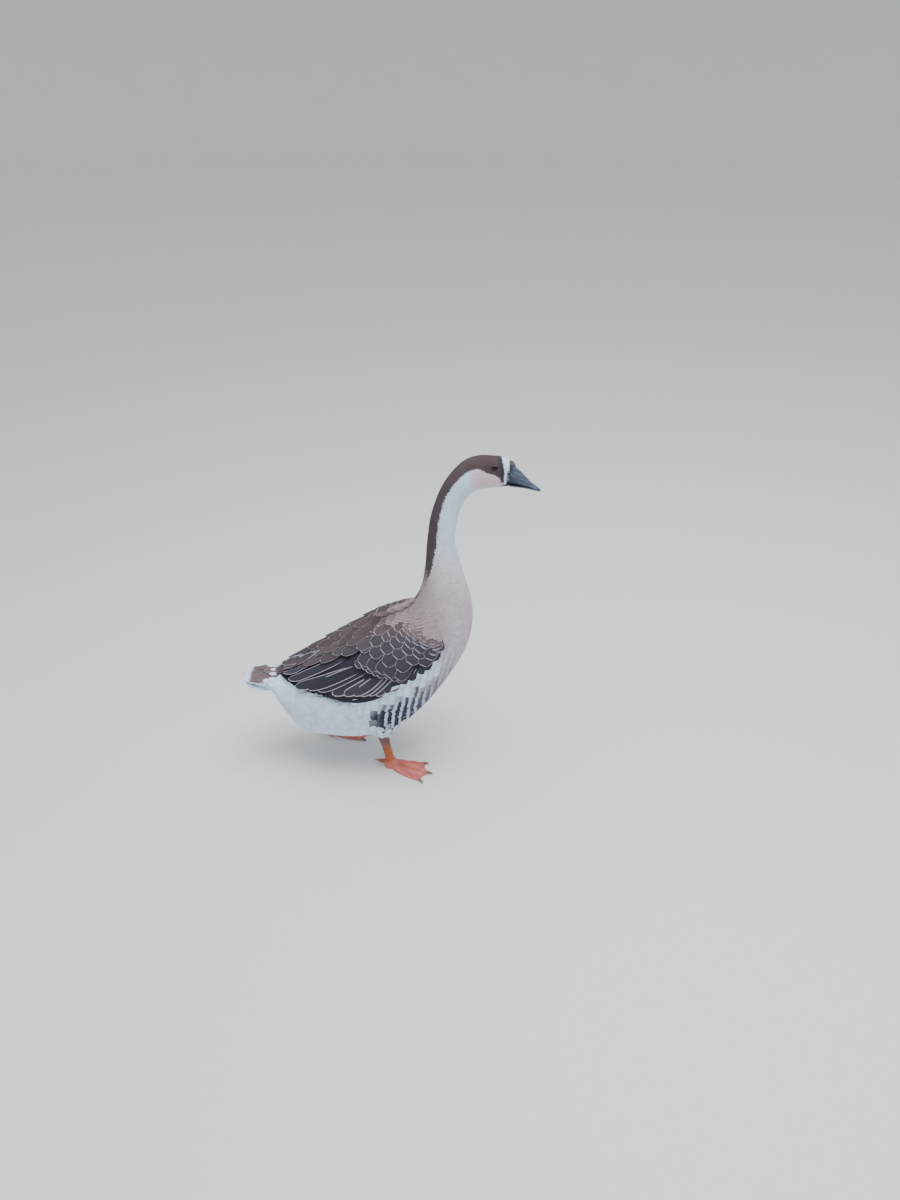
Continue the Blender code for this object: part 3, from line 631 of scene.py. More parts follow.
def wing_point(f, g, lift):
    """A point over the right wing, f from 0 in front to 1 at the tip, g from 0 above to 1 below."""
    place = WING_FRONT + (WING_REAR - WING_FRONT) * f
    upper, lower = wing_borders(np.clip(f, 0.0, 0.999))
    turn = upper + (lower - upper) * g
    height = wing_depth(np.clip(f, 0.0, 1.0), np.clip(g, 0.0, 1.0)) + lift
    return bare_point(place, turn) + body_normal(place, turn) * height[..., None]


BODY = Sheet(lambda a, b, lift: body_point(-a, b, lift), (0.02, 0.02))
WING = Sheet(wing_point, (0.004, 0.004))
ROUND_TIP = [(0.0, 0.35), (0.18, 0.72), (0.42, 0.97), (0.64, 1.0), (0.80, 0.90), (0.91, 0.68), (0.97, 0.42),
             (1.0, 0.16)]
SMALL_TIP = [(0.0, 0.5), (0.35, 0.92), (0.68, 1.0), (0.88, 0.74), (1.0, 0.22)]
BLUNT_TIP = [(0.0, 0.40), (0.25, 0.80), (0.5, 0.98), (0.72, 1.0), (0.87, 0.90), (0.95, 0.70), (1.0, 0.40)]
BAR_TIP = [(0.0, 0.60), (0.35, 0.95), (0.75, 1.0), (0.90, 0.95), (1.0, 0.74)]
LONG_TIP = [(0.0, 0.45), (0.12, 0.80), (0.3, 0.95), (0.5, 1.0), (0.68, 0.99), (0.80, 0.92), (0.89, 0.78),
            (0.955, 0.56), (1.0, 0.18)]


def lay(sheet, a, b, length, width, outline, across, heading=0.0, bend=0.0, root=-0.001, tip=0.0,
        camber=0.0, tilt=0.0):
    """Points of vanes rooted at a, b: feathers x rows x columns. The sheet keeps the spots of their tips."""
    a, b = np.array(a, float), np.array(b, float)
    count = len(a)
    given = (length, width, heading, bend, root, tip, camber, tilt)
    length, width, heading, bend, root, tip, camber, tilt = (np.broadcast_to(np.asarray(v, float), (count,))
                                                             for v in given)
    columns = np.linspace(-1.0, 1.0, across)
    points = np.empty((count, len(outline), across, 3))
    last = 0.0
    for row, (s, share) in enumerate(outline):
        along, around, normal = sheet.frame(a, b)
        ahead = unit(along)
        beside = np.cross(normal, ahead)
        turned = heading + bend * s
        way = ahead * np.cos(turned)[:, None] + beside * np.sin(turned)[:, None]
        aside = beside * np.cos(turned)[:, None] - ahead * np.sin(turned)[:, None]
        aa, ab, bb = ((x * y).sum(-1) for x, y in ((along, along), (along, around), (around, around)))
        det = aa * bb - ab * ab

        def rates(v):
            va, vb = (v * along).sum(-1), (v * around).sum(-1)
            return (va * bb - vb * ab) / det, (vb * aa - va * ab) / det

        if row:
            da, db = rates(way)
            step = (s - last) * length
            a, b = a + da * step, b + db * step
        last = s
        side_a, side_b = rates(aside)
        half = (width * 0.5 * share)[:, None] * columns[None]
        lift = (root + (tip - root) * s)[:, None] + camber[:, None] * share * (1 - columns ** 2)[None]
        lift = lift + tilt[:, None] * columns[None]
        points[:, row] = sheet.point(a[:, None] + side_a[:, None] * half,
                                     b[:, None] + side_b[:, None] * half, lift)
    sheet.reached = (a, b)
    return points


class Coat:
    """Feathers gathered into one piece."""

    def __init__(self, name, slot, seed):
        self.name, self.slot = name, slot
        self.random = np.random.default_rng(seed)
        self.points, self.faces, self.tones, self.edges = [], [], [], []
        self.vanes, self.roots, self.slims, self.numbers = [], [], [], []
        self.feathers = 0
        self.count = 0

    def add(self, points, outline, tone, edge, edge_width, edge_strength, roots, mirror=False):
        """Add vanes: one tone, edge colour, edge width and strength for each."""
        count, rows, columns, _ = points.shape
        points = points.copy()
        quads = grid_faces(rows, columns)
        if mirror:
            points[..., 1] *= -1
            quads = quads[:, ::-1]
        size = rows * columns
        starts = self.count + np.arange(count) * size
        self.faces.append((starts[:, None, None] + quads[None]).reshape(-1, 4))
        self.points.append(points.reshape(-1, 3))
        self.tones.append(np.repeat(np.concatenate([tone, edge_strength[:, None]], axis=1), size, axis=0))
        self.edges.append(np.repeat(np.concatenate([edge, edge_width[:, None]], axis=1), size, axis=0))
        s = np.array([step for step, _ in outline])
        c = np.linspace(0.0, 1.0, columns)
        vane = np.stack(np.meshgrid(c, s, indexing="xy"), axis=-1).reshape(-1, 2)
        self.vanes.append(np.tile(vane, (count, 1)))
        middle = columns // 2
        length = np.linalg.norm(points[:, -1, middle] - points[:, 0, middle], axis=1)
        widest = np.linalg.norm(points[:, :, -1] - points[:, :, 0], axis=2).max(1) / 2
        self.slims.append(np.repeat(length / widest, size))
        self.numbers.append(np.repeat(self.feathers + np.arange(count), size))
        self.feathers += count
        roots = np.array(roots, float)
        if mirror:
            roots[:, 0] *= -1
        self.roots.append(np.repeat(roots, size, axis=0))
        self.count += count * size

    def build(self, material, nodes=(), table=False):
        """Join all that was added. On the map each vane is a small patch at its root's place on the unwrapped
        skin, or one cell of a table where the feathers are few and large."""
        cells = math.ceil(math.sqrt(self.feathers))
        mesh = mesh_of(self.name, np.concatenate(self.points), [np.concatenate(self.faces)])
        vanes = np.concatenate(self.vanes)
        roots = np.concatenate(self.roots)
        if table:
            number = np.concatenate(self.numbers)
            spot = np.stack([number % cells, number // cells], axis=1) + 0.06 + 0.88 * vanes
            spots = spot / cells
        else:
            low, high = roots.min(0), roots.max(0)
            spots = 0.01 + 0.975 * (roots - low) / (high - low) + 0.003 * vanes
        corner_map(mesh, "OFBake", spots)
        corner_map(mesh, "Vane", vanes)
        tint(mesh, "tone", np.concatenate(self.tones))
        tint(mesh, "edge", np.concatenate(self.edges))
        slim = mesh.attributes.new("slim", "FLOAT", "POINT")
        slim.data.foreach_set("value", np.concatenate(self.slims).astype(np.float32))
        place_in_scene(self.name, mesh, material, nodes)


def feather_paint(name, barb=0.0004, shaft=0.5, roughness=0.85, tip_from=0.64, sides=1.0, tips=1.0,
                  rim_from=0.3):
    """Ground colour with a pale rim, a shaft and fine slanting barbs, all in the vane's own coordinates, with
    painted shade darkening each vane towards its root. Larger numbers for sides and tips make the rim there
    thinner; it starts at rim_from."""
    paint = Paint(name, Roughness=roughness, Specular_IOR_Level=0.10)
    tone, strength = paint.attribute("tone")
    edge, width = paint.attribute("edge")
    slim = paint.node("ShaderNodeAttribute", {"attribute_name": "slim"})[2]
    u, s = paint.map("Vane")
    c = (u * 2.0 - 1.0).size()
    q = ((s - tip_from) / (1.0 - tip_from)).larger(0.0)
    share = (1.0 - q * q).larger(0.0).power(0.5)
    inward = ((1.0 - c) * share * sides).smaller((1.0 - s) * slim * tips)
    rim = (1.0 - (inward / width).ramp(0.55, 1.15)) * s.ramp(rim_from - 0.1, rim_from + 0.1) * strength
    grain = paint.noise(60.0, 3.0)
    # Painted shade: each vane darkens towards its root, under the feathers over it; the grain varies its tone
    # at random.
    shade = (grain * 0.30 + 0.86) * (0.74 + 0.26 * s.ramp(0.15, 0.85))
    lit = paint.node("ShaderNodeVectorMath", {"operation": "SCALE"}, tone, Scale=shade)[0]
    quill = (1.0 - c.ramp(0.02, 0.07)) * shaft * (1.0 - s.ramp(0.75, 0.95))
    stripes = (s * slim * 26.0 + c * 18.0 + grain * 9.0).wave()
    fine = (stripes * 0.022 + 0.018).larger(0.0) * (1.0 - rim)
    coloured = paint.mix(rim, lit, edge)
    darker = paint.mix(quill, coloured, (0.05, 0.04, 0.045))
    paint.set(Base_Color=paint.mix(fine, darker, (0.9, 0.86, 0.86)))
    paint.bump(stripes * 0.3 + quill * 1.5, barb, 0.35)
    return paint.material


def rows_over(first, last, along, across, random, half_turn=math.pi, loose=0.16):
    """Staggered roots from one place back to another; along and across give the spacing at a place."""
    place, number, out_p, out_t = first, 0, [], []
    while place > last:
        ring = np.linspace(-half_turn, half_turn, 240)
        points = bare_point(np.full(ring.shape, place), ring)
        run = np.concatenate([[0.0], np.cumsum(np.linalg.norm(np.diff(points, axis=0), axis=1))])
        count = max(2, int(round(run[-1] / across(place))))
        at = (np.arange(count) + (0.5 if number % 2 else 0.0) + random.uniform(-loose, loose, count)) / count
        out_t.append(np.interp(at * run[-1], run, ring))
        flank = np.array([math.pi * 0.3, math.pi * 0.5, math.pi * 0.7])
        per_place = np.linalg.norm(bare_point(np.full(3, place + 0.05), flank)
                                   - bare_point(np.full(3, place - 0.05), flank), axis=1).mean() / 0.1
        step = along(place) / per_place
        out_p.append(np.full(count, place) + random.uniform(-loose, loose, count) * step)
        place -= step
        number += 1
    return np.concatenate(out_p), np.concatenate(out_t)


ROOT_DEPTH = -0.6


def body_coat(name, slot, seed, roots, long, wide, outline, columns, material, keep=None, finish=None,
              tip=0.0, camber=0.0003, ruffle=0.06, heading=0.0, vary=1.0):
    """One tract of body feathers. Its roots are known, or laid out by rows_over from the numbers given."""
    coat = Coat(name, slot, seed)
    places, turns = roots if len(roots) == 2 else rows_over(*roots[:4], coat.random, *roots[4:])
    if keep is not None:
        kept = keep(places, turns)
        places, turns = places[kept], turns[kept]
    count = len(places)
    jitter = coat.random
    length = np.array([long(p) for p in places]) * (1.0 + vary * jitter.uniform(-0.15, 0.12, count))
    width = np.array([wide(p) for p in places]) * jitter.uniform(0.88, 1.10, count)
    depth = coat_depth(places)
    points = lay(BODY, -places, turns, length, width, outline, columns,
                 jitter.normal(0.0, ruffle, count) + heading * np.sign(turns), 0.0, ROOT_DEPTH * depth,
                 tip + jitter.uniform(-0.00015, 0.00020, count), camber)
    shown = -BODY.reached[0] * 0.75 + places * 0.25
    shown_turns = BODY.reached[1] * 0.75 + turns * 0.25
    tone, edge, edge_width, strength = plumage(shown, shown_turns)
    if finish is not None:
        tone, edge_width, strength = finish(shown, shown_turns, tone, edge_width, strength)
    tone = tone * jitter.uniform(0.92, 1.06, count)[:, None]
    coat.add(points, outline, tone, edge, edge_width, strength, np.stack([turns, places], axis=1))
    coat.build(material)


EYE_CLEAR = 0.0068


def clear_of_eyes(places, turns):
    """Which roots lie clear of both eyes."""
    points = bare_point(places, turns)
    points[:, 1] = -np.abs(points[:, 1])
    return np.linalg.norm((points - EYE_CENTRE)[:, [0, 2]], axis=1) > EYE_CLEAR


def evenly(value):
    """The same size at every place."""
    return lambda place: value


def graded(places, values):
    """A size that changes smoothly from place to place."""
    return lambda place: float(np.interp(place, places, values))


# Feathers of the head, neck and body: tiny and soft on the face, longer down the neck and breast, and large
# and rounded on the back. Each tract lies over the one behind it, in staggered rows that hide the skin.
soft_paint = feather_paint("soft_feathers", barb=0.0002, shaft=0.0, roughness=0.9)
small_paint = feather_paint("contour_feathers", barb=0.0003, shaft=0.25)
flank_paint = feather_paint("flank_feathers", barb=0.0003, shaft=0.12, tip_from=0.70, sides=5.0, tips=0.42)
bar_paint = feather_paint("barred_feathers", barb=0.0003, shaft=0.10, sides=4.0, tips=1.1)
WING_CLEAR_F, WING_CLEAR_G = [0.30, 0.37, 0.62, 0.70], [0.995, 1.06, 1.06, 0.995]
FLANK_CLEAR_F, FLANK_CLEAR_G = [0.28, 0.34, 0.62, 0.70], [0.995, 1.10, 1.10, 0.995]


def outside_wings(places, turns):
    """Which roots lie off the folded wings, or just inside their lower borders."""
    f, g = wing_place(places, turns)
    return (g > np.interp(f, WING_CLEAR_F, WING_CLEAR_G)) | (g < 0.0) | (f < 0.055) | (f > 0.97)


def on_flank(places, turns):
    """Which roots lie in the barred field of the flank."""
    t = np.degrees(np.abs(turns))
    return (t > 88) & (t < 158) & (places < 11.2) & (places > 7.75)


def breast_field(places, turns):
    """Which roots lie on the breast and the foot of the neck."""
    return (places > 13.0) | (np.abs(turns) > 1.50) & outside_wings(places, turns)


def trunk_field(places, turns):
    """Which roots lie on the flanks, belly and vent."""
    ahead = outside_wings(places - 0.7, turns) | (places > 9.2)
    return outside_wings(places, turns) & ahead & (np.abs(turns) > np.radians(35))


def mantle_field(places, turns):
    """Which roots lie on the back, above the folded wings or just inside their upper borders."""
    f, g = wing_place(places, turns)
    return (np.abs(turns) < 1.60) & ((g < 0.12) | (f < 0.045))


def mantle_rows(random):
    """Roots of the mantle's feathers on both sides, in rows that run forward and down to the shoulder."""
    places, turns = [], []
    start, number = 15.4, 0
    while start > 7.4:
        steps = np.arange(0.05 if number % 2 else 0.115, 1.62, 0.13)
        places.append(start + 2.6 * (steps - 0.9) + random.uniform(-0.03, 0.03, len(steps)))
        turns.append(steps + random.uniform(-0.01, 0.01, len(steps)))
        start -= 0.27
        number += 1
    places, turns = np.concatenate(places), np.concatenate(turns)
    kept = mantle_field(places, turns) & (places < 13.3) & (places > 9.0)
    places, turns = places[kept], turns[kept]
    return np.concatenate([places, places]), np.concatenate([turns, -turns])


def side_places(x, z):
    """Place and turn of points of the right flank given in the side view."""
    P, T = np.meshgrid(np.linspace(6.8, 12.0, 261), np.radians(np.linspace(70, 178, 217)), indexing="ij")
    flank = bare_point(P, T)
    nearest = [int(np.argmin((flank[..., 0] - a) ** 2 + (flank[..., 2] - b) ** 2)) for a, b in zip(x, z)]
    return P.ravel()[nearest], T.ravel()[nearest]


def flank_rows(random):
    """Roots of the flank's feathers on both sides, in upright rows that lean back a little at their feet."""
    x, z = [], []
    column, number = 0.152, 0
    while column > -0.045:
        step = float(np.interp(column, [0.0, 0.06, 0.13], [0.0150, 0.0140, 0.0085]))
        heights = np.arange(0.085 + (0.0065 if number % 2 else 0.0), 0.345, 0.0125)
        z.append(heights + random.uniform(-0.0020, 0.0020, len(heights)))
        x.append(column + 0.22 * (heights - 0.20) + random.uniform(-0.0008, 0.0008, len(heights)))
        column -= step
        number += 1
    places, turns = side_places(np.concatenate(x), np.concatenate(z))
    f, g = wing_place(places, turns)
    kept = on_flank(places, turns) & (g > np.interp(f, FLANK_CLEAR_F, FLANK_CLEAR_G))
    places, turns = places[kept], turns[kept]
    return np.concatenate([places, places]), np.concatenate([turns, -turns])


def flank_finish(places, turns, tone, width, strength):
    """Clear white where the flank's feathers reach the cuffs of the thighs."""
    height = body_point(places, turns, np.zeros_like(places))[:, 2]
    low = ramp(0.157, 0.148, height)
    return blend(tone, WHITE, low), width, strength * (1 - low)


def back_finish(places, turns, tone, width, strength):
    """Thin rims, fainter along the middle of the back."""
    return tone, width, strength * (0.35 + 0.45 * ramp(0.10, 0.35, np.abs(turns)))


body_coat("head_feathers", "brown_feathers", 11, (22.98, 19.0, evenly(0.0017), evenly(0.0022)),
          evenly(0.0058), evenly(0.0034), SMALL_TIP, 3, soft_paint, keep=clear_of_eyes, tip=0.0001,
          camber=0.0001, ruffle=0.10)
body_coat("neck_feathers", "buff_feathers", 12,
          (19.1, 14.2, graded([14, 19], [0.0036, 0.0020]), graded([14, 19], [0.0040, 0.0025])),
          graded([14, 19], [0.0125, 0.0068]), graded([14, 19], [0.0064, 0.0038]), SMALL_TIP, 3, soft_paint,
          tip=0.0001, camber=0.0002, ruffle=0.08)
body_coat("breast_feathers", "buff_feathers", 13,
          (14.3, 10.2, graded([10, 14], [0.0066, 0.0040]), graded([10, 14], [0.0080, 0.0046])),
          graded([10, 14], [0.0215, 0.0130]), graded([10, 14], [0.0140, 0.0074]), SMALL_TIP, 5, small_paint,
          keep=breast_field, tip=0.0002, ruffle=0.07)
body_coat("trunk_feathers", "white_feathers", 14,
          (10.4, 3.2, graded([3, 6, 10], [0.0105, 0.0100, 0.0080]),
           graded([3, 6, 10], [0.0115, 0.0110, 0.0100])),
          graded([3, 6, 8, 10], [0.034, 0.031, 0.026, 0.021]),
          graded([3, 6, 8, 10], [0.021, 0.020, 0.017, 0.0145]),
          ROUND_TIP, 5, small_paint, keep=trunk_field, tip=0.0001, camber=0.0004, ruffle=0.10)
body_coat("flank_feathers", "brown_feathers", 18, flank_rows(np.random.default_rng(181)),
          graded([7, 9.5, 11.2], [0.036, 0.034, 0.026]), graded([7, 9.5, 11.2], [0.0225, 0.0215, 0.0165]),
          BLUNT_TIP, 7, flank_paint, finish=flank_finish, tip=0.0011, camber=0.0007, heading=-0.90, vary=0.15)
body_coat("mantle_feathers", "buff_feathers", 15, mantle_rows(np.random.default_rng(151)),
          graded([9, 10, 12.6], [0.030, 0.026, 0.0200]), graded([9, 10, 12.6], [0.0250, 0.0220, 0.0185]),
          BAR_TIP, 5, bar_paint, tip=0.0005, ruffle=0.05, heading=0.85, vary=0.12)
body_coat("back_feathers", "brown_feathers", 19,
          (9.3, 4.4, graded([5, 9], [0.0290, 0.0200]), graded([5, 9], [0.0270, 0.0240]), 1.0, 0.096),
          graded([5, 9], [0.070, 0.052]), graded([5, 9], [0.0300, 0.0270]), ROUND_TIP, 7, small_paint,
          keep=mantle_field, finish=back_finish, tip=0.0010, camber=0.0006, ruffle=0.03, vary=0.3)


# Folded wings: rounded brown coverts with thin pale edges grow longer to the rear. They lie over the fan of
# secondaries, the dark primaries below them and the long tertials whose tips reach the root of the tail.
wing_paint = feather_paint("wing_feathers", shaft=0.22, roughness=0.7, tip_from=0.60, sides=2.6)
quill_paint = feather_paint("wing_quills", shaft=0.40, roughness=0.65, tip_from=0.78, rim_from=0.12)
ROOT_SEARCHES = 5
WING_GIRTH = 0.150


def wing_roots(f, g, length, heading):
    """A first guess of where feathers are rooted whose tips reach f, g at a heading."""
    middle = np.clip(f - 0.5 * length / 0.45, 0.03, 0.96)
    zero = np.zeros_like(f)
    behind, ahead = wing_point(middle + 0.03, g, zero), wing_point(middle - 0.03, g, zero)
    long = np.linalg.norm(behind - ahead, axis=-1) / 0.06
    wide = np.linalg.norm(wing_point(middle, zero + 1, zero) - wing_point(middle, zero, zero), axis=-1) * 1.07
    return f - length * np.cos(heading) / long, g - length * np.sin(heading) / wide


def wing_tract(coat, mirror, tips, long, wide, outline, columns, heading, edge_width, strength, shade=1.0,
               root=-0.0030, tip=0.0002, tilt=0.0004, camber=0.0006, jitter=0.03, bend=0.0):
    """A tract of wing feathers from where their tips lie, as f and g. It searches for the roots they need."""
    f, g = (np.array(v, float) for v in zip(*tips))
    count = len(f)
    random = coat.random
    f = f + random.uniform(-0.004, 0.004, count)
    g = g + random.uniform(-0.010, 0.010, count)
    length = np.broadcast_to(long, (count,)) * random.uniform(0.95, 1.05, count)
    length = np.minimum(length, np.maximum((f - 0.01) * 0.46, 0.012))
    width = np.broadcast_to(wide, (count,)) * random.uniform(0.95, 1.05, count)
    heading = np.broadcast_to(heading, (count,)) + random.normal(0.0, jitter, count)
    rise = tip + random.uniform(-0.0002, 0.0002, count)
    root_f, root_g = wing_roots(f, g, length, heading)
    for _ in range(ROOT_SEARCHES):
        points = lay(WING, root_f, root_g, length, width, outline, columns, heading, bend, root, rise, camber,
                     tilt)
        root_f, root_g = root_f + 0.9 * (f - WING.reached[0]), root_g + 0.7 * (g - WING.reached[1])
        root_f, root_g = np.clip(root_f, -0.20, 1.0), np.clip(root_g, -0.35, 1.0)
    shades = wing_tone(f, g) * (shade * random.uniform(0.86, 1.14, count))[:, None]
    coat.add(points, outline, shades, np.broadcast_to(EDGE, (count, 3)), np.full(count, edge_width),
             np.full(count, strength), np.stack([root_g, root_f], axis=1), mirror)


def covert_row(start, slope, width, low, high, shift):
    """Tips of one row of coverts across the wing, further forward towards the lower border."""
    count = max(3, int(round((high - low) * WING_GIRTH / (width * 0.78))))
    steps = low + (high - low) * (np.arange(count) + 0.5 + shift) / count
    return [(start - slope * g, g) for g in steps]


# Each row of coverts: its start, how far it slants forward, its feathers' width and length, and its span.
COVERT_ROWS = [
    (0.465, 0.275, 0.0300, 0.060, 0.26, 0.86),
    (0.392, 0.265, 0.0295, 0.057, 0.14, 0.88),
    (0.322, 0.240, 0.0285, 0.052, 0.04, 0.90),
    (0.258, 0.205, 0.0270, 0.046, 0.02, 0.90),
    (0.202, 0.160, 0.0240, 0.038, 0.02, 0.91),
    (0.158, 0.124, 0.0205, 0.030, 0.02, 0.92),
    (0.129, 0.090, 0.0185, 0.024, 0.02, 0.92),
    (0.108, 0.066, 0.0170, 0.021, 0.02, 0.90),
]
PRIMARIES = [(0.520 + 0.022 * i, 1.0 - 0.016 * i) for i in range(6)]
SECONDARIES = [(0.285, 0.960), (0.312, 0.975), (0.340, 0.985), (0.368, 0.982), (0.397, 0.970), (0.427, 0.952),
               (0.457, 0.930), (0.488, 0.908), (0.522, 0.890), (0.572, 0.870)]
TERTIALS = [(0.640, 0.850), (0.700, 0.860), (0.785, 0.940), (0.850, 0.800), (0.900, 0.600), (0.945, 0.400),
            (0.970, 0.200)]
GREATER_COVERTS = [(0.420 - 0.0175 * i, 0.50 + 0.056 * i) for i in range(8)]
MEDIAN_COVERTS = [(0.400 - 0.0290 * i, 0.50 + 0.088 * i) for i in range(5)]
SCAPULARS = [(0.710, 0.180), (0.650, 0.000), (0.600, 0.250), (0.575, 0.060), (0.525, 0.200), (0.505, 0.010),
             (0.475, 0.280), (0.450, 0.130), (0.425, 0.000), (0.395, 0.260)]
for side, mirror, seed in (("right", False, 21), ("left", True, 22)):
    quills = Coat("wing_quills_" + side, "brown_feathers", seed)
    wing_tract(quills, mirror, PRIMARIES, 0.078, 0.018, LONG_TIP, 5, heading=-0.02, edge_width=0.08,
               strength=0.15, shade=0.42, root=-0.0060, tip=-0.0016, tilt=0.0002, camber=0.0002)
    wing_tract(quills, mirror, SECONDARIES, np.linspace(0.060, 0.090, 10), np.linspace(0.0170, 0.0240, 10),
               LONG_TIP, 5, heading=np.linspace(0.46, 0.30, 10), edge_width=0.22, strength=0.95, root=-0.0050,
               tip=np.linspace(-0.0014, 0.0014, 10), tilt=0.0012, camber=0.0001, jitter=0.01)
    wing_tract(quills, mirror, TERTIALS, np.linspace(0.125, 0.190, 7), np.linspace(0.0240, 0.0290, 7),
               LONG_TIP, 7, heading=0.02, edge_width=0.15, strength=0.9, shade=np.linspace(0.75, 1.25, 7),
               root=-0.0036, tip=np.linspace(0.0016, 0.0044, 7), tilt=0.0013, camber=0.0001, jitter=0.01,
               bend=np.linspace(0.45, 0.35, 7))
    quills.build(quill_paint, table=True)
    coverts = Coat("wing_coverts_" + side, "brown_feathers", seed + 10)
    wing_tract(coverts, mirror, GREATER_COVERTS, 0.044, 0.0210, BLUNT_TIP, 5, heading=0.45, edge_width=0.14,
               strength=0.95, shade=0.95, tip=np.linspace(0.0030, 0.0014, 8), camber=0.0002, jitter=0.01)
    wing_tract(coverts, mirror, SCAPULARS, np.linspace(0.078, 0.058, 10), 0.0300, ROUND_TIP, 7,
               heading=np.linspace(0.10, 0.35, 10), edge_width=0.10, strength=0.85, shade=1.15, root=-0.0015,
               tip=np.linspace(0.0040, 0.0044, 10))
    wing_tract(coverts, mirror, MEDIAN_COVERTS, 0.048, 0.0280, BLUNT_TIP, 7, heading=0.50, edge_width=0.11,
               strength=0.95, root=-0.0020, tip=0.0032, tilt=0.0002)
    for number, (start, slope, width, length, low, high) in enumerate(COVERT_ROWS):
        tips = covert_row(start, slope, width, low, high, 0.25 if number % 2 else -0.25)
        forward = number / (len(COVERT_ROWS) - 1)
        wing_tract(coverts, mirror, tips, length, width, BLUNT_TIP, 7 if number < 5 else 5,
                   heading=0.58 - 0.25 * forward, edge_width=0.110 + 0.03 * forward,
                   strength=0.95 - 0.25 * forward ** 2, root=-0.0016, tip=0.0032 - 0.0026 * forward,
                   tilt=0.0002, camber=0.0006 - 0.0004 * forward, jitter=0.04)
    coverts.build(wing_paint, ("wing_" + side,), table=True)


# Tail: a fan of stiff brown feathers with white edges and tips, the outermost white all over. White coverts
# lie over its root and in rows below it.
TAIL_FEATHERS = 7
TAIL_WHITE = (0.0, 0.0, 0.0, 0.0, 0.0, 0.2, 0.8, 1.0)
RUMP_COVERTS = [(3.85, 34, 0.028, 0.0120), (3.75, 66, 0.026, 0.0135), (3.60, 12, 0.022, 0.0110),
                (3.45, 48, 0.028, 0.0125)]


def tail_point(a, b, lift):
    """A point over the fan, a from 0 at its root to 1 at the tip, b from -1 on the left to 1 on the right."""
    x = -0.228 - 0.0835 * a
    half = 0.0225 + 0.0170 * a
    z = 0.2328 - 0.0050 * a + 0.0015 * a * a - 0.0150 * b * b + lift
    return np.stack([x + 0.0 * b, -half * b, z], axis=-1)


TAIL = Sheet(tail_point, (0.01, 0.01))
tail_paint = feather_paint("tail_feathers", shaft=0.35, roughness=0.7, tip_from=0.78, sides=5.0, tips=0.22)
fan = Coat("tail_feathers", "brown_feathers", 41)
for number in range(TAIL_FEATHERS, -1, -1):
    for hand in ((1, -1) if number else (1,)):
        b = hand * number / TAIL_FEATHERS * 0.94
        one = np.ones(1)
        points = lay(TAIL, one * -0.02, one * b, 0.0850 - 0.013 * abs(b) ** 2.2, 0.0175, LONG_TIP, 7,
                     root=-0.0030, tip=0.0008 - 0.00040 * number, camber=0.0012, tilt=0.0003 * hand)
        pale = TAIL_WHITE[number]
        tone = (TAIL_BROWN * (1 - pale) + WHITE * pale) * fan.random.uniform(0.90, 1.06)
        fan.add(points, LONG_TIP, tone[None], WHITE[None] * 0.97, one * 0.34, one, [[b, 0.5]])
fan.build(tail_paint, table=True)


def around_tail(places, turns):
    """Which roots belong to the white coverts below the tail."""
    return np.abs(turns) > np.radians(np.interp(places, [0.8, 2.2, 3.2, 3.7], [140, 128, 112, 60]))


body_coat("tail_coverts", "white_feathers", 16, (4.2, 0.9, evenly(0.0085), evenly(0.0095)),
          graded([0.9, 3, 4.2], [0.014, 0.026, 0.034]), evenly(0.015), ROUND_TIP, 5, small_paint,
          keep=around_tail, tip=-0.0002, camber=0.0004, ruffle=0.05)
rump = Coat("rump_coverts", "white_feathers", 17)
for place, degrees, length, width in RUMP_COVERTS:
    for hand in (1.0, -1.0):
        one = np.ones(1)
        points = lay(BODY, one * -place, one * hand * math.radians(degrees), length, width, ROUND_TIP, 7,
                     heading=hand * rump.random.normal(0.0, 0.04), root=-0.0015, tip=0.0016, camber=0.0010)
        rump.add(points, ROUND_TIP, WHITE[None] * 1.03, WHITE[None], one * 0.1, one * 0.1,
                 [[hand * degrees, place]])
rump.build(small_paint, table=True)


# Thighs: below the flank's feathers, rings of small pale ones run down each drumstick. They turn rosy where
# they close in a cuff round the top of the bare shank.
CUFF_RINGS, CUFF_COLUMNS = 11, 20


def thigh_sheet(side):
    """The surface of one thigh, for feathers to lie on."""
    return Sheet(lambda a, b, lift: thigh_point(side, a, b, lift), (0.01, 0.02))


for side, seed in (("right", 51), ("left", 52)):
    thigh = Coat("thigh_feathers_" + side, "white_feathers", seed)
    roots = [(0.52 + 0.040 * i, math.tau * (j + 0.5 * (i % 2)) / CUFF_COLUMNS)
             for i in range(CUFF_RINGS) for j in range(CUFF_COLUMNS)]
    a, b = (np.array(v) for v in zip(*roots))
    points = lay(thigh_sheet(side), a, b, np.interp(a, [0.5, 0.75, 0.92], [0.020, 0.016, 0.0085]),
                 np.interp(a, [0.5, 0.75, 0.92], [0.0115, 0.0095, 0.0062]), SMALL_TIP, 5,
                 heading=thigh.random.normal(0.0, 0.08, len(a)), root=-0.0022, tip=0.0001, camber=0.0003)
    rosy = ramp(0.72, 1.0, a)[:, None] * 0.55
    tones = (WHITE * 0.97 * (1 - rosy) + CHEEK * rosy) * thigh.random.uniform(0.93, 1.04, len(a))[:, None]
    thigh.add(points, SMALL_TIP, tones, np.broadcast_to(WHITE, (len(a), 3)), np.full(len(a), 0.20),
              np.zeros(len(a)), np.stack([b, a], axis=1))
    thigh.build(small_paint)


# Eyes: glossy, very dark brown eyeballs with a large pupil. They are set in almond openings between lids of
# dark, finely wrinkled skin, which takes the brown of the cap further out.
EYE_LONG, EYE_HIGH = 0.0056, 0.0036
LID_OUTER, LID_GAP = 0.0075, 0.00035
PUPIL_EDGE, IRIS_EDGE = (2.7, 3.1), (4.1, 4.7)


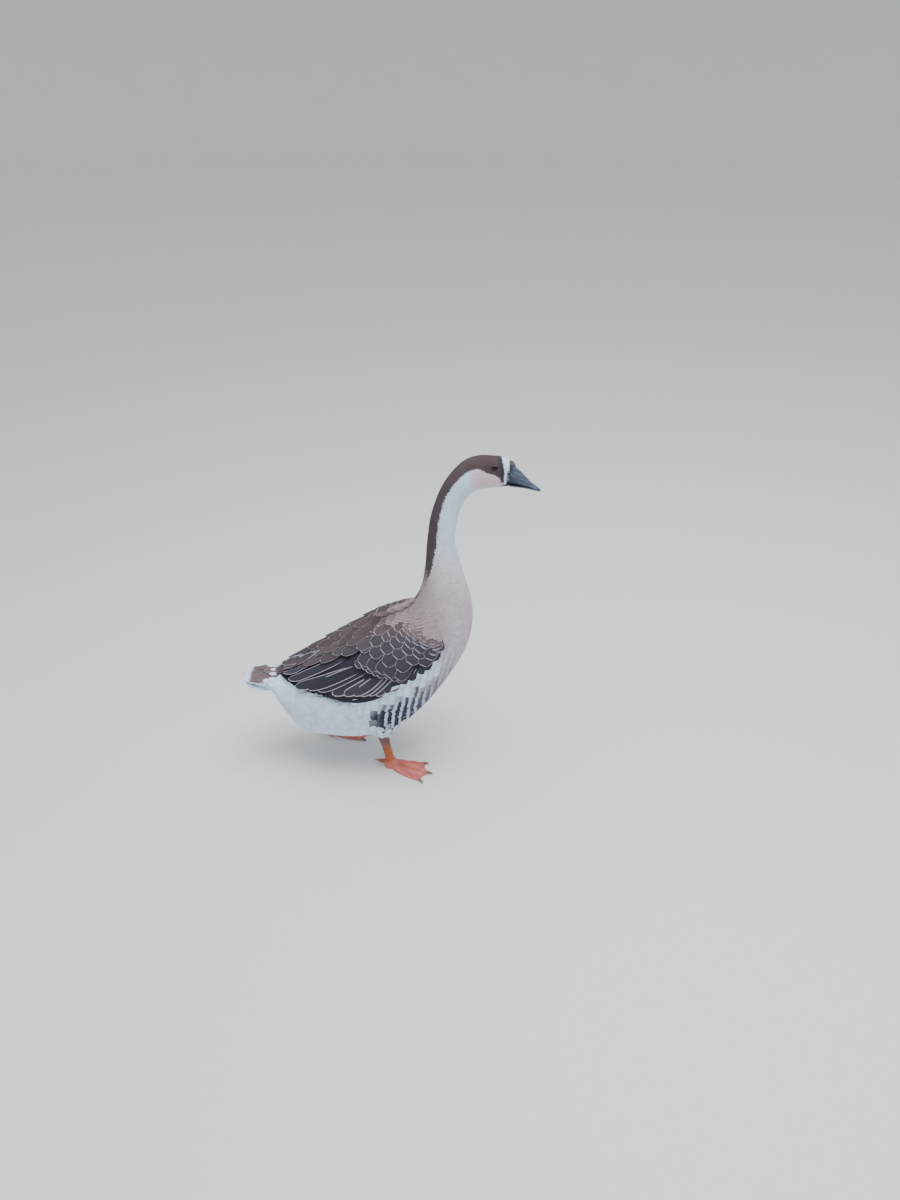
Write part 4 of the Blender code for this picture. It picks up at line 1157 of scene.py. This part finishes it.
def ball(centre, radius, columns, rows, axis_sign):
    """A sphere whose poles lie on the line across the head."""
    lat, lon = np.meshgrid(np.linspace(0.02, math.pi - 0.02, rows),
                           np.linspace(0, math.tau, columns, endpoint=False), indexing="ij")
    points = np.stack([np.sin(lat) * np.cos(lon), -axis_sign * np.cos(lat),
                       axis_sign * np.sin(lat) * np.sin(lon)], axis=-1) * radius + centre
    points = points.reshape(-1, 3)
    poles = np.array([centre + np.array([0, -axis_sign * radius, 0]),
                      centre + np.array([0, axis_sign * radius, 0])])
    ring = np.arange(columns)
    after = (ring + 1) % columns
    last = (rows - 1) * columns
    caps = [np.stack([after, ring, np.full(columns, rows * columns)], axis=1)[:, ::-1],
            np.stack([ring + last, after + last, np.full(columns, rows * columns + 1)], axis=1)[:, ::-1]]
    return np.concatenate([points, poles]), grid_faces(rows, columns, closed=True), caps


eye_paint = Paint("eye", Roughness=0.10, Specular_IOR_Level=0.16, Coat_Weight=0.20, Coat_Roughness=0.03)
spot_x, _, spot_z = eye_paint.node("ShaderNodeSeparateXYZ", None, eye_paint.place())
from_x, from_z = spot_x - float(EYE_CENTRE[0]), spot_z - float(EYE_CENTRE[2])
from_axis = (from_x * from_x + from_z * from_z).power(0.5) * 1000.0
streaks = eye_paint.noise(700.0, 3.0)
iris = eye_paint.mix(streaks.ramp(0.35, 0.65), (0.010, 0.006, 0.005), (0.030, 0.014, 0.009))
iris = eye_paint.mix(from_axis.ramp(*PUPIL_EDGE), (0.004, 0.004, 0.005), iris)
eye_paint.set(Base_Color=eye_paint.mix(from_axis.ramp(*IRIS_EDGE), iris, (0.02, 0.014, 0.012)))
lid_paint = Paint("eyelid", Roughness=0.6, Specular_IOR_Level=0.3)
_, lid_v = lid_paint.map("OFBake")
lid_edge = lid_v.ramp(0.30, 0.55)
lid_paint.set(Base_Color=lid_paint.mix(lid_edge, (0.030, 0.021, 0.024), CAP * 0.95))
lid_paint.bump((lid_v * 60.0 + lid_paint.noise(500.0) * 5.0).wave(), 0.00015, 0.6)
for side, sign in (("right", 1.0), ("left", -1.0)):
    centre = EYE_CENTRE * np.array([1.0, sign, 1.0])
    points, quads, caps = ball(centre, EYE_RADIUS, 48, 24, sign)
    eye_mesh = mesh_of("eye_" + side, points, [quads] + caps)
    place_in_scene("eye_ball_" + side, eye_mesh, eye_paint.material, ("eye_" + side,))
    ring = np.linspace(0, math.tau, 72, endpoint=False)
    steps = np.linspace(0.0, 1.0, 12)
    F, R = np.meshgrid(steps, ring, indexing="ij")
    corner = 1.0 + 0.16 * np.abs(np.cos(R)) ** 6 * (1 - F)
    long = (EYE_LONG + (LID_OUTER - EYE_LONG) * F) * corner
    high = EYE_HIGH + (LID_OUTER - EYE_HIGH) * F
    u, v = long * np.cos(R), high * np.sin(R) - 0.0004 * (1 - F) * np.cos(2 * R)
    dome = np.sqrt(np.maximum((EYE_RADIUS + LID_GAP) ** 2 - u * u - v * v, 0.0))
    over = dome + LID_GAP * np.sin(math.pi * F)
    head = 0.0052 - 0.0022 * F
    away = np.where(F < 0.62, over, np.minimum(over, head + 0.0010))
    away = away - 0.0006 * (F < 0.01) - 0.0012 * ramp(0.85, 1.0, F)
    lids = np.stack([centre[0] + u, centre[1] - sign * away, centre[2] + v], axis=-1)
    quads = grid_faces(len(steps), len(ring), closed=True)
    if sign < 0:
        quads = quads[:, ::-1]
    lid_mesh = mesh_of("lids_" + side, lids.reshape(-1, 3), [quads])
    lid_spots = np.stack([0.02 + 0.96 * R / math.tau, 0.02 + 0.96 * F], axis=-1)
    corner_map(lid_mesh, "OFBake", lid_spots.reshape(-1, 2))
    place_in_scene("eyelids_" + side, lid_mesh, lid_paint.material)


# Bill: slate-black horn with a small smooth knob at its root, an open nostril on each side, a nail at the tip
# and fine comb-like plates along the mouth line, with a painted highlight along its top and painted shade at
# the knob's base.
# Sections of each mandible from its root to its tip: x, top z, bottom z and half width.
BILL_UPPER = [
    (0.2500, 0.7250, 0.6855, 0.0158),
    (0.2590, 0.7185, 0.6845, 0.0152),
    (0.2690, 0.7095, 0.6830, 0.0146),
    (0.2790, 0.6995, 0.6810, 0.0140),
    (0.2870, 0.6900, 0.6790, 0.0134),
    (0.2935, 0.6825, 0.6762, 0.0126),
    (0.3010, 0.6765, 0.6722, 0.0113),
    (0.3080, 0.6715, 0.6678, 0.0085),
    (0.3115, 0.6690, 0.6665, 0.0035),
]
BILL_LOWER = [
    (0.2500, 0.6852, 0.6775, 0.0140),
    (0.2620, 0.6837, 0.6760, 0.0133),
    (0.2790, 0.6806, 0.6735, 0.0124),
    (0.2920, 0.6759, 0.6708, 0.0110),
    (0.3010, 0.6715, 0.6685, 0.0092),
    (0.3065, 0.6683, 0.6664, 0.0050),
]
KNOB_CENTRE, KNOB_RADII = (0.2520, 0.7120), (0.0112, 0.0122, 0.0168)
NOSTRIL, NOSTRIL_DEPTH = (0.2660, 0.6975), 0.0022
COMB_RISE, COMB_WIDTH, COMB_PITCH = 0.0012, 0.0009, 0.0016
BILL_LEVEL = 0.14


def smooth_larger(a, b, blend):
    """The larger of two lengths, rounded where they cross."""
    mixed = np.clip(0.5 + 0.5 * (a - b) / blend, 0.0, 1.0)
    return b + (a - b) * mixed + blend * mixed * (1 - mixed)


def bill_points(table, level, rows, columns, knob):
    """Rows of points round one mandible, from the root to the tip. The knob swells the upper one's root."""
    f, k = np.meshgrid(np.linspace(0.0, len(table) - 1.0, rows),
                       np.linspace(0, math.tau, columns, endpoint=False), indexing="ij")
    section = curve(np.array(table), f)
    x, top, low, half = (section[..., i] for i in range(4))
    middle = low + (top - low) * level
    rise, out = np.cos(k), np.sin(k)
    up = np.where(rise > 0, top - middle, middle - low) * rise
    side = -half * np.sign(out) * np.abs(out) ** 0.85
    if knob:
        reach = np.hypot(side, up)
        way_y, way_z = side / reach, up / reach
        share = np.sqrt(np.maximum(1.0 - ((x - KNOB_CENTRE[0]) / KNOB_RADII[0]) ** 2, 0.0))
        ry, rz = np.maximum(KNOB_RADII[1] * share, 1e-5), np.maximum(KNOB_RADII[2] * share, 1e-5)
        offset = middle - KNOB_CENTRE[1]
        qa = (way_y / ry) ** 2 + (way_z / rz) ** 2
        qb = 2 * way_z * offset / rz ** 2
        qc = (offset / rz) ** 2 - 1.0
        inside = qb * qb - 4 * qa * qc
        far = np.where((inside > 0) & (share > 0.05), (-qb + np.sqrt(np.maximum(inside, 0))) / (2 * qa), 0.0)
        reach = np.where(rise > 0, smooth_larger(reach, far, 0.0016) - 0.0004, reach)
        side, up = way_y * reach, way_z * reach
    return np.stack([x, side, middle + up], axis=-1)


def closed_tube(points):
    """Points and faces of a tube of rings with both ends filled."""
    rows, columns = points.shape[:2]
    flat = points.reshape(-1, 3)
    ends = np.stack([points[0].mean(0), points[-1].mean(0)])
    ring = np.arange(columns)
    after = (ring + 1) % columns
    last = (rows - 1) * columns
    caps = [np.stack([ring, after, np.full(columns, rows * columns)], axis=1)[:, ::-1],
            np.stack([ring + last, after + last, np.full(columns, rows * columns + 1)], axis=1)]
    return np.concatenate([flat, ends]), [grid_faces(rows, columns, closed=True)[:, ::-1]] + caps


bill_paint = Paint("bill", Specular_IOR_Level=0.5)
bill_x, _, bill_z = bill_paint.node("ShaderNodeSeparateXYZ", None, bill_paint.place())
cloud = bill_paint.noise(140.0, 4.0)
along = (bill_x - 0.25) * 16.4
# Painted highlight: the top of the bill turns paler and bluer, the sky reflected on it, broken into streaks
# along its length.
top_sky_highlight = (bill_z - 0.7250 + along * 0.056).ramp(-0.026, -0.015)
top_sky_highlight = top_sky_highlight * (0.75 + 0.25 * (bill_z * 900.0 + bill_x * 420.0 + cloud * 5.0).wave())
slate = bill_paint.mix(cloud.ramp(0.35, 0.65), (0.014, 0.019, 0.036), (0.026, 0.035, 0.062))
slate = bill_paint.mix(top_sky_highlight * 0.80, slate, (0.095, 0.118, 0.180))
# Painted shade: the rear of the knob is darkened where it meets the head.
behind = (1.0 - bill_x.ramp(0.2530, 0.2575)) * bill_z.ramp(0.7080, 0.7150)
slate = bill_paint.mix(behind * 0.9, slate, (0.014, 0.017, 0.030))
nail = bill_x.ramp(0.3025, 0.3050)
bill_paint.set(Base_Color=bill_paint.mix(nail * 0.8, slate, (0.050, 0.046, 0.048)),
               Roughness=0.34 + cloud * 0.22)
bill_paint.bump(bill_paint.noise(420.0, 3.0), 0.0004, 0.35)
upper = bill_points(BILL_UPPER, BILL_LEVEL, 190, 72, knob=True)
hole = np.exp(-(((upper[..., 0] - NOSTRIL[0]) * 0.86 - (upper[..., 2] - NOSTRIL[1]) * 0.5) / 0.0036) ** 4
              - (((upper[..., 2] - NOSTRIL[1]) * 0.86 + (upper[..., 0] - NOSTRIL[0]) * 0.5) / 0.0013) ** 4)
upper[..., 1] -= np.sign(upper[..., 1]) * NOSTRIL_DEPTH * hole
mouth = np.interp(upper[..., 0], [s[0] for s in BILL_UPPER], [s[2] for s in BILL_UPPER])
comb = np.exp(-((upper[..., 2] - (mouth + COMB_RISE)) / COMB_WIDTH) ** 2)
upper[..., 1] *= 1.0 + 0.020 * comb * np.sin(upper[..., 0] * math.tau / COMB_PITCH)
points, faces = closed_tube(upper)
upper_mesh = mesh_of("bill_upper_horn", points, faces)
place_in_scene("bill_upper_horn", upper_mesh, bill_paint.material, ("bill_upper", "knob"))
lower = bill_points(BILL_LOWER, 1.0 - BILL_LEVEL, 90, 48, knob=False)
points, faces = closed_tube(lower)
lower_mesh = mesh_of("bill_lower_horn", points, faces)
place_in_scene("bill_lower_horn", lower_mesh, bill_paint.material, ("bill_lower",))


# Legs: one skin of small scales runs down each shank into the webbed foot, whose three front toes stand over
# the web. Blunt claws grip the ends of the toes, and a small hind toe sits behind the ankle.
LEGS = {
    "right": {"ankle": (0.0010, -0.040, 0.0215), "turn": -18.0, "side": -1},
    "left": {"ankle": (-0.142, 0.072, 0.0215), "turn": 0.0, "side": 1},
}
# Half sizes of the shank from the ankle to the hock, along the stride and across it.
SHANK_LONG = [0.0104, 0.0098, 0.0104, 0.0126, 0.0146]
SHANK_WIDE = [0.0088, 0.0078, 0.0080, 0.0094, 0.0110]
# Each front toe: its heading in degrees, its reach from the ankle and its half width.
TOES = {"inner": (-20.0, 0.0800, 0.0048), "middle": (0.0, 0.0940, 0.0052), "outer": (20.0, 0.0890, 0.0048)}
FOOT_ROWS, SHANK_ROWS = 60, 46
SHANK_INTO_THIGH = 0.004
WEB_THICKNESS, WEB_SCALLOP = 0.0026, 0.08
HEEL_RADIUS, STUMP_RADIUS, STUMP_TOP = 0.0130, 0.0094, 0.0210
TOE_ROOT_HEIGHT, TOE_TIP_HEIGHT, TOE_SWELL = 0.0190, 0.0062, 0.0012
WEB_ARCH, WEB_ARCH_REACH = 0.0120, 0.072
HIND_PATH = [(0.007, 0.0105), (0.0145, 0.0098), (0.0215, 0.0086), (0.0270, 0.0076), (0.0300, 0.0070)]
HIND_RADII = [0.0048, 0.0043, 0.0040, 0.0033, 0.0016]
HIND_REACH, HIND_RISE, HIND_CLAW_SIZE = 0.0305, 0.0035, 0.62
CLAW_PATH = [(-0.0050, 0.0040), (-0.0015, 0.0044), (0.0020, 0.0040), (0.0055, 0.0028), (0.0082, 0.0014)]
CLAW_RADII = np.array([0.0026, 0.0028, 0.0024, 0.0015, 0.0004])


def foot_reach(angle):
    """Distance from the ankle to the foot's edge at headings in degrees."""
    headings = sorted((heading, length) for heading, length, _ in TOES.values())
    (first, reach_first), (last, reach_last) = headings[0], headings[-1]
    beyond = np.maximum(np.maximum(first - angle, angle - last), 0.0)
    reach = np.where(angle < first, reach_first, reach_last) * np.exp(-(beyond / 17.0) ** 1.1)
    reach = np.maximum(HEEL_RADIUS, reach)
    for (a, reach_a), (b, reach_b) in zip(headings, headings[1:]):
        f = np.clip((angle - a) / (b - a), 0.0, 1.0)
        web = (reach_a + (reach_b - reach_a) * f) * (1.0 - WEB_SCALLOP * np.sin(math.pi * f) ** 0.8)
        reach = np.where((angle >= a) & (angle <= b), web, reach)
    return reach


def web_height(r):
    """Height of the web, arched up towards the ankle."""
    return WEB_THICKNESS + WEB_ARCH * np.maximum(0.0, 1.0 - r / WEB_ARCH_REACH) ** 1.5


def toe_ridge(angle, r):
    """Height of the toes over the web, the share of a toe at each point and the way along it."""
    height, nearest, way = np.zeros_like(angle), np.zeros_like(angle), np.zeros_like(angle)
    for heading, length, half in TOES.values():
        across = r * np.sin(np.radians(angle - heading))
        along = r * np.cos(np.radians(angle - heading)) / length
        on_toe = (np.abs(angle - heading) < 80) & (along <= 1.02)
        rise = TOE_ROOT_HEIGHT + (TOE_TIP_HEIGHT - TOE_ROOT_HEIGHT) * along
        rise = rise + TOE_SWELL * np.cos(math.tau * 3 * along)
        near = np.where(on_toe, np.exp(-(across / half) ** 2 * 1.4), 0.0)
        ridge = (rise - web_height(r)) * near
        way = np.where(ridge > height, along * length, way)
        nearest = np.maximum(nearest, near)
        height = np.maximum(height, ridge)
    return height, nearest, way


leg_paint = Paint("leg_skin", Specular_IOR_Level=0.35)
toe_share, _ = leg_paint.attribute("tone")
toe_part, way_part, web_part = leg_paint.node("ShaderNodeSeparateColor", None, toe_share)
leg_z = leg_paint.node("ShaderNodeSeparateXYZ", None, leg_paint.place())[2]
blotch = leg_paint.noise(55.0, 4.0)
fine_cells = leg_paint.node("ShaderNodeTexVoronoi", {"feature": "DISTANCE_TO_EDGE"}, Vector=leg_paint.place(),
                            Scale=520.0)[0].ramp(0.0, 0.10)
bands = (way_part * 260.0).wave().ramp(-0.2, -0.9)
orange = leg_paint.mix(blotch.ramp(0.35, 0.65), (0.47, 0.105, 0.036), (0.60, 0.165, 0.070))
pink = leg_paint.mix(blotch.ramp(0.30, 0.60), (0.69, 0.165, 0.150), (0.84, 0.265, 0.235))
orange = leg_paint.mix(toe_part.larger(web_part).smaller(way_part * 4.0 + web_part), orange, pink)
creases = ((1.0 - fine_cells) * 0.30 + bands * toe_part * 0.35).smaller(0.6)
orange = leg_paint.mix(creases, orange, (0.30, 0.085, 0.070))
# Painted shade: the shank turns dark purple-grey towards its top, in the shadow under the belly.
orange = leg_paint.mix(leg_z.ramp(0.045, 0.085) * 0.9, orange, (0.135, 0.082, 0.086))
leg_paint.set(Base_Color=orange, Roughness=0.42 + blotch * 0.2)
leg_paint.bump(fine_cells - bands * toe_part * 1.2 + blotch * web_part, 0.0005, 0.55)
claw_paint = Paint("claws", Roughness=0.38, Specular_IOR_Level=0.4)
claw_grain = claw_paint.noise(300.0)
claw_paint.set(Base_Color=claw_paint.mix(claw_grain, (0.14, 0.095, 0.075), (0.30, 0.21, 0.165)))


def bent_tube(path, radii, columns):
    """A round tube along a path in an upright plane, its rings square to it."""
    path, radii = np.array(path), np.array(radii)
    way = unit(np.gradient(path, axis=0))
    side = unit(np.cross(np.array([0.0, 0.0, 1.0]), way))
    up = np.cross(way, side)
    k = np.linspace(0, math.tau, columns, endpoint=False)
    ring = side[:, None] * np.cos(k)[None, :, None] + up[:, None] * np.sin(k)[None, :, None]
    return path[:, None] + ring * radii[:, None, None]


for side, leg in LEGS.items():
    low, top = np.array(leg["ankle"]), np.array(THIGHS[side][0]) + np.array([0.0, 0.0, SHANK_INTO_THIGH])
    front = np.linspace(-64.0, 64.0, 150)
    heel = np.linspace(64.0, 296.0, 42)[1:-1]
    angles = np.concatenate([front, heel])
    signed = np.where(angles > 180, angles - 360, angles)
    headings = math.radians(leg["turn"]) + leg["side"] * np.radians(angles)
    rows = []
    for i in range(SHANK_ROWS):
        f = 1.0 - i / (SHANK_ROWS - 1)
        centre = low + (top - low) * f
        long = curve(np.array(SHANK_LONG), np.array([f * 4.0]))[0]
        wide = curve(np.array(SHANK_WIDE), np.array([f * 4.0]))[0]
        rows.append(np.stack([centre[0] + long * np.cos(headings), centre[1] + wide * np.sin(headings),
                              np.full(headings.shape, centre[2])], axis=-1))
    marks = [np.zeros((len(angles), 3)) for _ in rows]
    reach = foot_reach(signed)
    for i in range(1, FOOT_ROWS + 1):
        f = (i / FOOT_ROWS) ** 1.15
        r = STUMP_RADIUS + (reach * 0.99 - STUMP_RADIUS) * f
        ridge, near, way = toe_ridge(signed, r)
        slope = np.maximum(0.0, 1.0 - (r - STUMP_RADIUS) / 0.016)
        height = np.maximum(web_height(r) + ridge * (1.0 - 0.45 * f ** 10), TOE_ROOT_HEIGHT * slope)
        height = height + (STUMP_TOP - height) * slope ** 3
        height = height + 0.00018 * np.sin(way * 1300.0) * near * (1 - slope) * (f < 0.97)
        height = height + 0.00022 * np.sin(signed * 1.9 + r * 160.0) * (1 - near) * (1 - slope)
        rows.append(np.stack([low[0] + r * np.cos(headings), low[1] + r * np.sin(headings), height], axis=-1))
        marks.append(np.stack([near, way * 10.0, (1 - near) * (1 - slope)], axis=-1))
    for share, height in ((1.0, 0.0014), (0.99, 0.0)):
        rows.append(np.stack([low[0] + reach * share * np.cos(headings),
                              low[1] + reach * share * np.sin(headings),
                              np.full(headings.shape, height)], axis=-1))
        marks.append(np.stack([0 * reach, 0 * reach, 0 * reach + 1.0], axis=-1))
    grid = np.stack(rows)
    points, faces = closed_tube(grid)
    if leg["side"] > 0:
        faces = [part[:, ::-1] for part in faces]
    spread = np.stack(marks).reshape(-1, 3)
    spread = np.concatenate([spread, [[0, 0, 0], [0, 0, 1]]])
    heading = math.radians(leg["turn"]) + leg["side"] * math.pi
    behind = np.array([math.cos(heading), math.sin(heading), 0.0])
    start = np.array([low[0], low[1], 0.0])
    hind = bent_tube([start + behind * d + np.array([0, 0, z]) for d, z in HIND_PATH], HIND_RADII, 20)
    hind_points, hind_faces = closed_tube(hind)
    faces = faces + [part + len(points) for part in hind_faces]
    points = np.concatenate([points, hind_points])
    spread = np.concatenate([spread, np.zeros((len(hind_points), 3))])
    leg_mesh = mesh_of("leg_" + side, points, faces[:1] + faces[3:4] + faces[1:3] + faces[4:])
    tint(leg_mesh, "tone", spread)
    place_in_scene("leg_" + side, leg_mesh, leg_paint.material,
                   ("shank_" + side, "foot_" + side, "hind_toe_" + side))
    claw_points, claw_faces, claw_caps, count = [], [], [], 0
    for toe_heading, length in [toe[:2] for toe in TOES.values()] + [(180.0, HIND_REACH)]:
        rise, size = (HIND_RISE, HIND_CLAW_SIZE) if length == HIND_REACH else (0.0, 1.0)
        heading = math.radians(leg["turn"]) + leg["side"] * math.radians(toe_heading)
        way = np.array([math.cos(heading), math.sin(heading), 0.0])
        path = [start + way * (length + d) + np.array([0, 0, z + rise]) for d, z in CLAW_PATH]
        tube = bent_tube(path, CLAW_RADII * size, 20)
        tube_points, tube_faces = closed_tube(tube)
        claw_points.append(tube_points)
        claw_faces.append(tube_faces[0] + count)
        claw_caps += [part + count for part in tube_faces[1:]]
        count += len(tube_points)
    claw_mesh = mesh_of("claws_" + side, np.concatenate(claw_points),
                        [np.concatenate(claw_faces)] + claw_caps)
    place_in_scene("claws_" + side, claw_mesh, claw_paint.material,
                   tuple(f"claw_{toe}_{side}" for toe in TOES))


# Floor, lights and camera: a plain pale sweep, soft light from above as under an overcast sky, and the
# photo's camera, held about 1.4 m up and tilted well down.
FLOOR_RADIUS, SWEEP, WALL = 12.0, 3.0, 10.5
FLOOR_SIDES, SWEEP_STEPS = 96, 16
CAMERA_TILT = 58.3
profile = [(FLOOR_RADIUS, 0.0)]
profile += [(FLOOR_RADIUS + SWEEP * math.sin(k), SWEEP - SWEEP * math.cos(k))
            for k in (math.pi / 2 * i / SWEEP_STEPS for i in range(1, SWEEP_STEPS + 1))]
profile += [(FLOOR_RADIUS + SWEEP, WALL)]
around = np.linspace(0, math.tau, FLOOR_SIDES, endpoint=False)
floor_points = [(r * math.cos(k), r * math.sin(k), z) for r, z in profile for k in around] + [(0.0, 0.0, 0.0)]
floor_faces = [grid_faces(len(profile), FLOOR_SIDES, closed=True)]
first = np.arange(FLOOR_SIDES)
middle = np.full(FLOOR_SIDES, len(floor_points) - 1)
floor_faces.append(np.stack([first, (first + 1) % FLOOR_SIDES, middle], axis=1))
floor_mesh = mesh_of("floor", floor_points, floor_faces)
floor = bpy.data.objects.new("floor", floor_mesh)
bpy.context.scene.collection.objects.link(floor)
floor_paint = Paint("floor", Base_Color=(0.80, 0.80, 0.79), Roughness=0.9, Specular_IOR_Level=0.1)
floor_mesh.materials.append(floor_paint.material)

world = bpy.data.worlds.new("studio")
bpy.context.scene.world = world
world.use_nodes = True
world.node_tree.nodes["Background"].inputs["Color"].default_value = (0.88, 0.94, 1.0, 1.0)
world.node_tree.nodes["Background"].inputs["Strength"].default_value = 0.94


def soft_light(name, location, aim, size, power, colour):
    """A square area light aimed at a point."""
    data = bpy.data.lights.new(name, "AREA")
    data.shape, data.size, data.energy, data.color = "SQUARE", size, power, colour
    lamp = bpy.data.objects.new(name, data)
    lamp.location = location
    way = np.array(aim) - np.array(location)
    lamp.rotation_euler = (math.atan2(math.hypot(way[0], way[1]), -way[2]), 0.0, math.atan2(way[0], -way[1]))
    bpy.context.scene.collection.objects.link(lamp)


soft_light("sky", (0.5, -0.6, 3.4), (0.0, 0.0, 0.3), 2.4, 132.0, (1.0, 0.99, 0.98))
soft_light("fill", (-1.6, -2.6, 1.6), (0.0, 0.0, 0.35), 1.8, 18.0, (1.0, 0.99, 0.97))

camera_data = bpy.data.cameras.new("camera")
camera_data.lens, camera_data.sensor_width = 27.0, 36.0
camera = bpy.data.objects.new("camera", camera_data)
camera.location = (0.137, -1.59, 1.40)
camera.rotation_euler = (math.radians(CAMERA_TILT), 0.0, 0.0)
bpy.context.scene.collection.objects.link(camera)
bpy.context.scene.camera = camera
